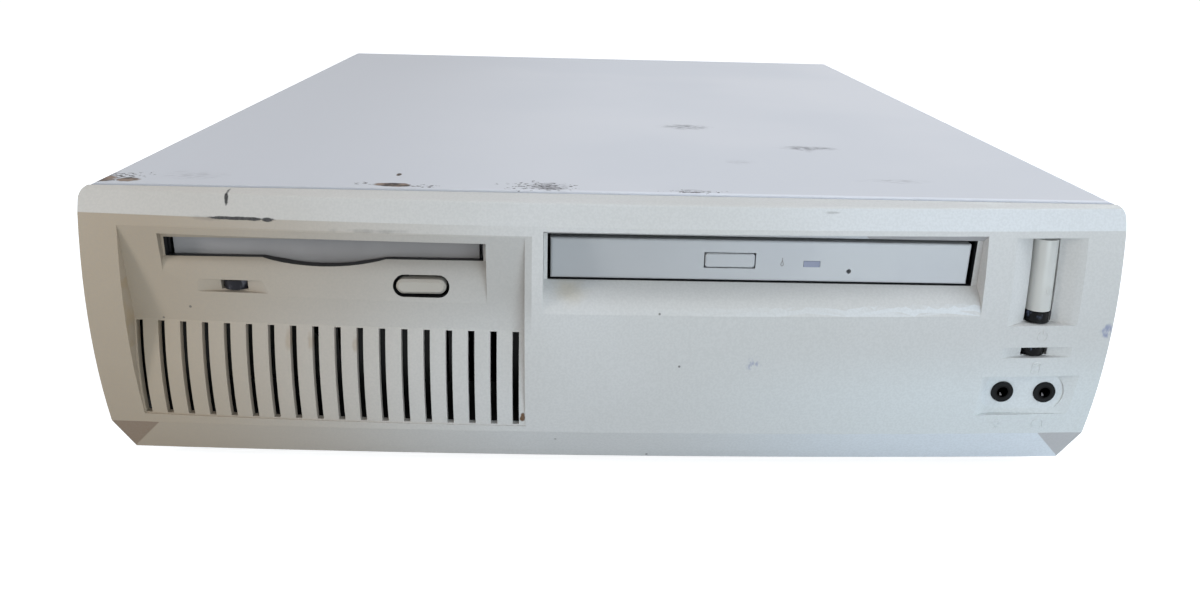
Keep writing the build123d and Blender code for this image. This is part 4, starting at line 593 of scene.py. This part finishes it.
def add_screw(shape, center, axis, radius, height):
    """Pan head with a rounded rim and a cross cut into it, in millimetres."""
    place = placed(center, axis)
    sides = 24

    def loop(points, level):
        return [shape.verts.new(place @ Vector((x * MM, y * MM, level * MM))) for x, y in points]

    def circle(reach):
        turns = [2 * pi * step / sides for step in range(sides)]
        return [(reach * cos(turn), reach * sin(turn)) for turn in turns]

    arm, slit = 0.58 * radius, 0.13 * radius
    quarter = [(arm, -slit), (arm, slit), (slit, slit)]
    cross = []
    for turn in (0, pi / 2, pi, 3 * pi / 2):
        cross += [(x * cos(turn) - y * sin(turn), x * sin(turn) + y * cos(turn)) for x, y in quarter]
    profile_shares = ((1.0, 0.0), (1.0, 0.5), (0.9, 0.85), (0.7, 1.0))
    rings = [loop(circle(wide * radius), tall * height) for wide, tall in profile_shares]
    for first, second in zip(rings, rings[1:]):
        bridge(shape, first, second)
    rim, bottom = loop(cross, height), loop(cross, 0.3 * height)
    bridge(shape, rim, bottom)
    shape.faces.new(bottom)
    shape.faces.new(rings[0])
    edges = []
    for ring in (rings[-1], rim):
        for index, vert in enumerate(ring):
            pair = (vert, ring[(index + 1) % len(ring)])
            edges.append(shape.edges.get(pair) or shape.edges.new(pair))
    bmesh.ops.triangle_fill(shape, use_beauty=True, edges=edges)


def arc(x, z, across_by, up_by, start, stop, steps=18):
    """Points on an ellipse between two angles in degrees."""
    turns = [radians(start + (stop - start) * k / steps) for k in range(steps + 1)]
    return [(x + across_by * cos(turn), z + up_by * sin(turn)) for turn in turns]


def add_line(shape, tree, points, width, rise):
    """Thin raised line on a carrier's front, along points given in width and height."""
    step_length, sink_depth, crown_share, ahead = 0.3, 0.1, 0.6, -250
    path = []
    for (x0, z0), (x1, z1) in zip(points, points[1:]):
        steps = max(1, round(((x1 - x0) ** 2 + (z1 - z0) ** 2) ** 0.5 / step_length))
        path += [(x0 + (x1 - x0) * k / steps, z0 + (z1 - z0) * k / steps) for k in range(steps)]
    path.append(points[-1])
    rings = []
    for index, (x, z) in enumerate(path):
        before = path[max(index - 1, 0)]
        after = path[min(index + 1, len(path) - 1)]
        along = Vector((after[0] - before[0], 0.0, after[1] - before[1]))
        spot, normal, _, _ = tree.ray_cast(Vector((x, ahead, z)) * MM, Vector((0, 1, 0)))
        aside = normal.cross(along).normalized() * (width / 2 * MM)
        crown = aside * crown_share
        lift, sink = normal * (rise * MM), normal * (sink_depth * MM)
        corners = (spot + aside - sink, spot + crown + lift, spot - crown + lift, spot - aside - sink)
        rings.append([shape.verts.new(corner_facet_shade) for corner_facet_shade in corners])
    for first, second in zip(rings, rings[1:]):
        bridge(shape, first, second)
    shape.faces.new(rings[0])
    shape.faces.new(rings[-1])


def add_sign(name, node, lines, body, slot_name, width, rise):
    """Raised lines on the front of a node, as one piece."""
    mesh = nodes[node].data
    points = [vertex.co.copy() for vertex in mesh.vertices]
    tree = BVHTree.FromPolygons(points, [list(face.vertices) for face in mesh.polygons])
    shape = bmesh.new()
    for line in lines:
        add_line(shape, tree, line, width, rise)
    add_piece(name, shape, body, slot_name)


# Raised signs on the front, drawn round their own places in width and height
def power_lines(x, z):
    """Open ring with a stroke."""
    radius, stroke_low, stroke_high = 1.6, z + 0.5, z + 2.2
    return [arc(x, z, radius, radius, 130, 410), [(x, stroke_low), (x, stroke_high)]]


def drum_lines(x, z):
    """Disk drum: a round lid over two sides and a round bottom."""
    half, lid, bottom, flat = 1.3, z + 1.3, z - 1.2, 0.5
    sides = [(x - half, lid), *arc(x, bottom, half, flat, 180, 360), (x + half, lid)]
    return [arc(x, lid, half, flat, 0, 360), sides]


def microphone_lines(x, z):
    """Capsule in a cradle on a stem and a foot."""
    capsule, capsule_half, capsule_tall = z + 0.6, 0.6, 1.2
    cradle, cradle_half, cradle_tall = z + 0.5, 1.35, 1.4
    stem, foot, foot_half = z - 0.9, z - 1.8, 0.8
    return [
        arc(x, capsule, capsule_half, capsule_tall, 0, 360),
        arc(x, cradle, cradle_half, cradle_tall, 190, 350),
        [(x, stem), (x, foot)],
        [(x - foot_half, foot), (x + foot_half, foot)],
    ]


def headphone_lines(x, z):
    """Bow over two ear pads."""
    bow, bow_half, bow_tall = z - 0.2, 1.8, 1.9
    pad, pad_aside, pad_half, pad_tall = z - 0.9, 1.65, 0.35, 0.8
    pads = [arc(x + side * pad_aside, pad, pad_half, pad_tall, 0, 360) for side in (-1, 1)]
    return [arc(x, bow, bow_half, bow_tall, -5, 185), *pads]


def sun_lines(x, z):
    """Ring with eight rays."""
    radius, ray_ends, rays = 0.7, (1.05, 1.5), 8
    lines = [arc(x, z, radius, radius, 0, 360)]
    for step in range(rays):
        turn = 2 * pi * step / rays
        lines.append([(x + reach * cos(turn), z + reach * sin(turn)) for reach in ray_ends])
    return lines


def drop_lines(x, z):
    """Drop that hangs from a short line."""
    half, tall = 0.4, 0.55
    neck, line_end = (x, z + 1.3), (x, z + 2.0)
    return [[neck, *arc(x, z, half, tall, 130, 410), neck], [neck, line_end]]


front_lines = [
    *power_lines(134.9, 53.1), *drum_lines(134.8, 42.2),
    *microphone_lines(126.5, 21.6), *headphone_lines(140.5, 21.3),
]
sun, drop = sun_lines(135.2, 67.0), drop_lines(52.7, 73.7)
add_sign("front_signs", "front_bezel", front_lines, "chassis", "bezel_plastic", width=0.36, rise=0.13)
add_sign("power_sign", "power_button", sun, "power_key", "button_plastic", width=0.26, rise=0.1)
add_sign("tray_sign", "optical_tray_front", drop, "tray", "flap_plastic", width=0.28, rise=0.1)

# Spring contacts low in the two front sound sockets
contacts = bmesh.new()
places, level = jack_places()
mouth = spot_of("audio_jacks")[0].y
for x in places:
    root, tip = (x + 0.3, mouth + 1.6, level - 1.8), (x + 0.1, mouth + 2.0, level - 0.9)
    add_pin(contacts, root, tip, radius=0.5, tip=0.12, sides=4)
add_piece("jack_contacts", contacts, "chassis", "sled_metal")


# Pins and contacts of the rear sockets
def row_places(middle, count, pitch):
    """Places across of a row of contacts."""
    return [middle + (index - (count - 1) / 2) * pitch for index in range(count)]


low, high = spot_of("dsub_ports")
shell_face, shell_root = high.y, high.y - 4.4
shell_pitch = 43.4915
parallel_x, shell_z = (low.x + high.x) / 2, (low.z + high.z) / 2
serial_x, video_x = parallel_x + shell_pitch, parallel_x - shell_pitch
wide_pitch, wide_row, fine_pitch, fine_row = 2.77, 1.42, 2.29, 1.98
pin_radius, pin_tip, hole_wire, hole_depth = 0.5, 0.25, 0.14, 0.78
pins = bmesh.new()
neck, end = shell_face - 0.9, shell_face - 0.5
for row, count in ((wide_row, 5), (-wide_row, 4)):
    level = shell_z + row
    for x in row_places(serial_x, count, wide_pitch):
        add_pin(pins, (x, shell_root, level), (x, neck, level), pin_radius)
        add_pin(pins, (x, neck, level), (x, end, level), pin_radius, pin_tip)
hole_rows = (
    (parallel_x, wide_row, 13, wide_pitch), (parallel_x, -wide_row, 12, wide_pitch),
    (video_x, fine_row, 5, fine_pitch), (video_x - fine_pitch / 2, 0, 5, fine_pitch),
    (video_x, -fine_row, 5, fine_pitch),
)
for middle, row, count, pitch in hole_rows:
    for x in row_places(middle, count, pitch):
        center = (x, shell_face - hole_depth, shell_z + row)
        add_ring(pins, center, (0, 1, 0), pin_radius, hole_wire, sides=12)

low, high = spot_of("keyboard_ports")
pin_circle = 2.6
pin_root, pin_end = high.y - 8.0, high.y - 6.8
for height_share in (0.25, 0.75):
    middle = low.z + height_share * (high.z - low.z)
    for turn in (20, 70, 110, 160, 235, 305):
        x = (low.x + high.x) / 2 + pin_circle * cos(radians(turn))
        level = middle + pin_circle * sin(radians(turn))
        add_pin(pins, (x, pin_root, level), (x, pin_end, level), pin_radius)

low, high = spot_of("network_port")
wire_count, wire_pitch, wire_radius = 8, 1.02, 0.22
mouth, upper, back, lower = high.y - 0.8, low.z + 10.65, high.y - 9.9, low.z + 8.5
for x in row_places((low.x + high.x) / 2, wire_count, wire_pitch):
    add_pin(pins, (x, mouth, upper), (x, back, lower), wire_radius, sides=8)

low, high = spot_of("usb_ports")
strip_back, strip_front, strip_half, strip_thickness = high.y - 11.4, high.y - 2.2, 0.5, 0.1
for tongue in (low.z + 4.62, low.z + 12.02):
    for place in (-3.5, -1.0, 1.0, 3.5):
        x = (low.x + high.x) / 2 + place
        start = (x - strip_half, strip_back, tongue)
        add_box(pins, start, (x + strip_half, strip_front, tongue + strip_thickness))
add_piece("rear_contacts", pins, "chassis", "standoff_brass")

inserts = bmesh.new()
short_half, long_half, half_height = 6.6, 17.6, 2.7
hole_face, depth, proud = shell_face - 0.8, 0.3, 0.05
insert_places = (
    (serial_x, short_half, shell_root), (parallel_x, long_half, hole_face), (video_x, short_half, hole_face),
)
for x, half, face in insert_places:
    start = (x - half, face - depth, shell_z - half_height)
    add_box(inserts, start, (x + half, face + proud, shell_z + half_height))
add_piece("socket_inserts", inserts, "chassis", "port_plastic")

# Screws of the power supply, its fan and the processor's fan, with the guard's eyes
rear = spot_of("rear_panel")[1].y
screws = bmesh.new()
supply_screws = ((66.8, 76.8), (146.6, 76.6), (66.8, 9.6), (146.4, 9.6))
for x, level in supply_screws:
    add_screw(screws, (x, rear, level), (0, 1, 0), radius=3.1, height=1.9)
low, high = spot_of("fan_guard")
fan_x, fan_z = (low.x + high.x) / 2, (low.z + high.z) / 2
eye_place, eye_radius, eye_thickness, wire = 24.6, 2.9, 1.3, 0.7
spoke_start, spoke_end = 21.0, eye_place - 1.9
eyes = bmesh.new()
for side in (-1, 1):
    for upright in (-1, 1):
        x, level = fan_x + side * eye_place, fan_z + upright * eye_place
        add_screw(screws, (x, rear + eye_thickness, level), (0, 1, 0), radius=2.6, height=1.6)
        add_pin(eyes, (x, rear, level), (x, rear + eye_thickness, level), radius=2.2)
        add_ring(eyes, (x, rear + wire, level), (0, 1, 0), eye_radius, wire)
        inner = (fan_x + side * spoke_start, rear + wire, fan_z + upright * spoke_start)
        outer = (fan_x + side * spoke_end, rear + wire, fan_z + upright * spoke_end)
        add_pin(eyes, inner, outer, wire)
low, high = spot_of("processor_fan_frame")
inset = 4.2
for x in (low.x + inset, high.x - inset):
    for y in (low.y + inset, high.y - inset):
        add_screw(screws, (x, y, high.z), (0, 0, 1), radius=2.6, height=1.5)
add_piece("case_screws", screws, "chassis", "screw_steel")
add_piece("guard_eyes", eyes, "chassis", "guard_wire")

# Legs of the flat chip, caps of the capacitors and card contacts
board_top = spot_of("main_board")[1]
chip_half, chip_from_rear = 10.0, 86.001
leg_length, leg_half, leg_height, leg_pitch = 1.5, 0.18, 0.35, 0.8
chip_x, chip_y = spot_of("board_chips")[0].x + chip_half, board_top.y - chip_from_rear
leg_low, leg_high = board_top.z, board_top.z + leg_height
legs = bmesh.new()
for place in row_places(0, 22, leg_pitch):
    left, right = place - leg_half, place + leg_half
    for side in (-1, 1):
        inner, outer = sorted((side * chip_half, side * (chip_half + leg_length)))
        add_box(legs, (chip_x + inner, chip_y + left, leg_low), (chip_x + outer, chip_y + right, leg_high))
        add_box(legs, (chip_x + left, chip_y + inner, leg_low), (chip_x + right, chip_y + outer, leg_high))
add_piece("chip_legs", legs, "chassis", "port_steel")

caps = bmesh.new()
low, high = spot_of("board_capacitors")
can_radius, can_count, cap_sink, cap_rise = 4.0, 4, 0.1, 0.12
can_pitch = (high.x - low.x - 2 * can_radius) / (can_count - 1)
y = (low.y + high.y) / 2
for x in row_places((low.x + high.x) / 2, can_count, can_pitch):
    add_pin(caps, (x, y, high.z - cap_sink), (x, y, high.z + cap_rise), radius=3.4, tip=3.2, sides=24)
add_piece("capacitor_caps", caps, "chassis", "battery_steel")

fingers = bmesh.new()
low, high = spot_of("card_slots")
slot_half, end_margin, finger_count, finger_half = 4.5, 6.0, 27, 0.4
gap_half, groove_half, root, end = 0.72, 0.9, low.x + 1.2, low.x + 10.4
finger_pitch = (high.y - low.y - 2 * end_margin) / (finger_count - 1)
for level in (low.z + slot_half, high.z - slot_half):
    for y in row_places((low.y + high.y) / 2, finger_count, finger_pitch):
        for side in (-1, 1):
            lower, upper = sorted((level + side * groove_half, level + side * gap_half))
            add_box(fingers, (root, y - finger_half, lower), (end, y + finger_half, upper))
add_piece("slot_contacts", fingers, "chassis", "standoff_brass")

# Clamp balls on the spindle hub and the pickup's lens
low, high = spot_of("optical_spindle")
ball_circle, ball_radius, ball_drop = 7.1, 0.8, 1.1
balls = bmesh.new()
for step in range(3):
    turn = 2 * pi * step / 3 + pi / 2
    x = (low.x + high.x) / 2 + ball_circle * cos(turn)
    y = (low.y + high.y) / 2 + ball_circle * sin(turn)
    place = Matrix.Translation(Vector((x, y, high.z - ball_drop)) * MM)
    bmesh.ops.create_uvsphere(balls, u_segments=12, v_segments=8, radius=ball_radius * MM, matrix=place)
add_piece("hub_balls", balls, "spindle", "rod_steel")

low, high = spot_of("optical_sled")
lens_radius, lens_flatness = 2.0, 0.35
lens = bmesh.new()
place = Matrix.Translation(Vector(((low.x + high.x) / 2, (low.y + high.y) / 2, high.z)) * MM)
place = place @ Matrix.Diagonal((1, 1, lens_flatness, 1))
bmesh.ops.create_uvsphere(lens, u_segments=20, v_segments=10, radius=lens_radius * MM, matrix=place)
add_piece("pickup_lens", lens, "sled", "dark_lens")


# Floor, light and camera, in metres
def area_light(name, place, aim, size, power, colour):
    lamp = bpy.data.lights.new(name, "AREA")
    lamp.size = size
    lamp.energy = power
    lamp.color = colour
    holder = bpy.data.objects.new(name, lamp)
    bpy.context.scene.collection.objects.link(holder)
    holder.location = place
    holder.rotation_euler = (Vector(aim) - Vector(place)).to_track_quat("-Z", "Y").to_euler()


def seen_directly(tree):
    """1 for rays that show the background itself, to the camera, in gloss or through glass."""
    path = tree.nodes.new("ShaderNodeLightPath")
    total = path.outputs["Is Camera Ray"]
    for name in ("Is Glossy Ray", "Is Transmission Ray"):
        node = tree.nodes.new("ShaderNodeMath")
        node.operation = "MAXIMUM"
        tree.links.new(total, node.inputs[0])
        tree.links.new(path.outputs[name], node.inputs[1])
        total = node.outputs[0]
    return total


def floor_look():
    """Pale matt floor that glows white where it is seen and still takes the shadow."""
    material = bpy.data.materials.new("floor")
    material.use_nodes = True
    tree = material.node_tree
    shader = tree.nodes["Principled BSDF"]
    shader.inputs["Base Color"].default_value = (0.50, 0.53, 0.56, 1.0)
    shader.inputs["Roughness"].default_value = 0.9
    shader.inputs["Specular IOR Level"].default_value = 0.0
    shader.inputs["Emission Color"].default_value = (1.0, 1.0, 1.0, 1.0)
    glow = tree.nodes.new("ShaderNodeMath")
    glow.operation = "MULTIPLY"
    glow.inputs[1].default_value = 0.86
    tree.links.new(seen_directly(tree), glow.inputs[0])
    tree.links.new(glow.outputs[0], shader.inputs["Emission Strength"])
    return material


def studio():
    """A room that is cool and bright on the right and dim and warm on the left, and looks white."""
    world = bpy.data.worlds.new("studio")
    world.use_nodes = True
    tree = world.node_tree
    direction = tree.nodes.new("ShaderNodeTexCoord")
    across = tree.nodes.new("ShaderNodeSeparateXYZ")
    rightward = tree.nodes.new("ShaderNodeMapRange")
    rightward.interpolation_type = "SMOOTHSTEP"
    rightward.inputs["From Min"].default_value = -0.8
    rightward.inputs["From Max"].default_value = 0.8
    tint = tree.nodes.new("ShaderNodeMix")
    tint.data_type = "RGBA"
    tint.inputs[6].default_value = (0.15, 0.105, 0.055, 1.0)
    tint.inputs[7].default_value = (0.58, 0.67, 0.77, 1.0)
    room = tree.nodes["Background"]
    backdrop = tree.nodes.new("ShaderNodeBackground")
    backdrop.inputs["Color"].default_value = (1.0, 1.0, 1.0, 1.0)
    shown = tree.nodes.new("ShaderNodeMixShader")
    tree.links.new(direction.outputs["Generated"], across.inputs[0])
    tree.links.new(across.outputs["X"], rightward.inputs["Value"])
    tree.links.new(rightward.outputs["Result"], tint.inputs[0])
    tree.links.new(tint.outputs[2], room.inputs["Color"])
    tree.links.new(seen_directly(tree), shown.inputs[0])
    tree.links.new(room.outputs[0], shown.inputs[1])
    tree.links.new(backdrop.outputs[0], shown.inputs[2])
    tree.links.new(shown.outputs[0], tree.nodes["World Output"].inputs["Surface"])
    return world


bpy.ops.mesh.primitive_plane_add(size=80.0, location=(0, 30.0, -0.0002))
floor = bpy.context.object
floor.name = "floor"
floor.data.materials.append(floor_look())
bpy.context.scene.world = studio()

area_light(
    "key", place=(0.50, -1.42, 0.18), aim=(0.05, -0.19, 0.05),
    size=0.8, power=9.3, colour=(0.84, 0.95, 1.0),
)
area_light(
    "top", place=(0.85, -0.05, 1.30), aim=(0.05, -0.05, 0.05),
    size=0.9, power=11.0, colour=(0.95, 0.98, 1.0),
)
area_light(
    "left", place=(-0.56, -0.42, 0.22), aim=(-0.10, -0.18, 0.05),
    size=0.1, power=1.0, colour=(1.0, 0.98, 0.96),
)

camera = bpy.data.cameras.new("camera")
camera.sensor_fit = "HORIZONTAL"
camera.sensor_width = 36.0
camera.lens = 28.8226
camera.shift_y = -0.012177
camera.clip_start = 0.01
camera.clip_end = 200.0
eye = bpy.data.objects.new("camera", camera)
bpy.context.scene.collection.objects.link(eye)
eye.location = (-0.0111017, -0.4556976, 0.1635882)
eye.rotation_euler = (radians(70.5468), radians(-1.4591), radians(-1.2515))
bpy.context.scene.camera = eye
bpy.context.scene.view_settings.view_transform = "Standard"
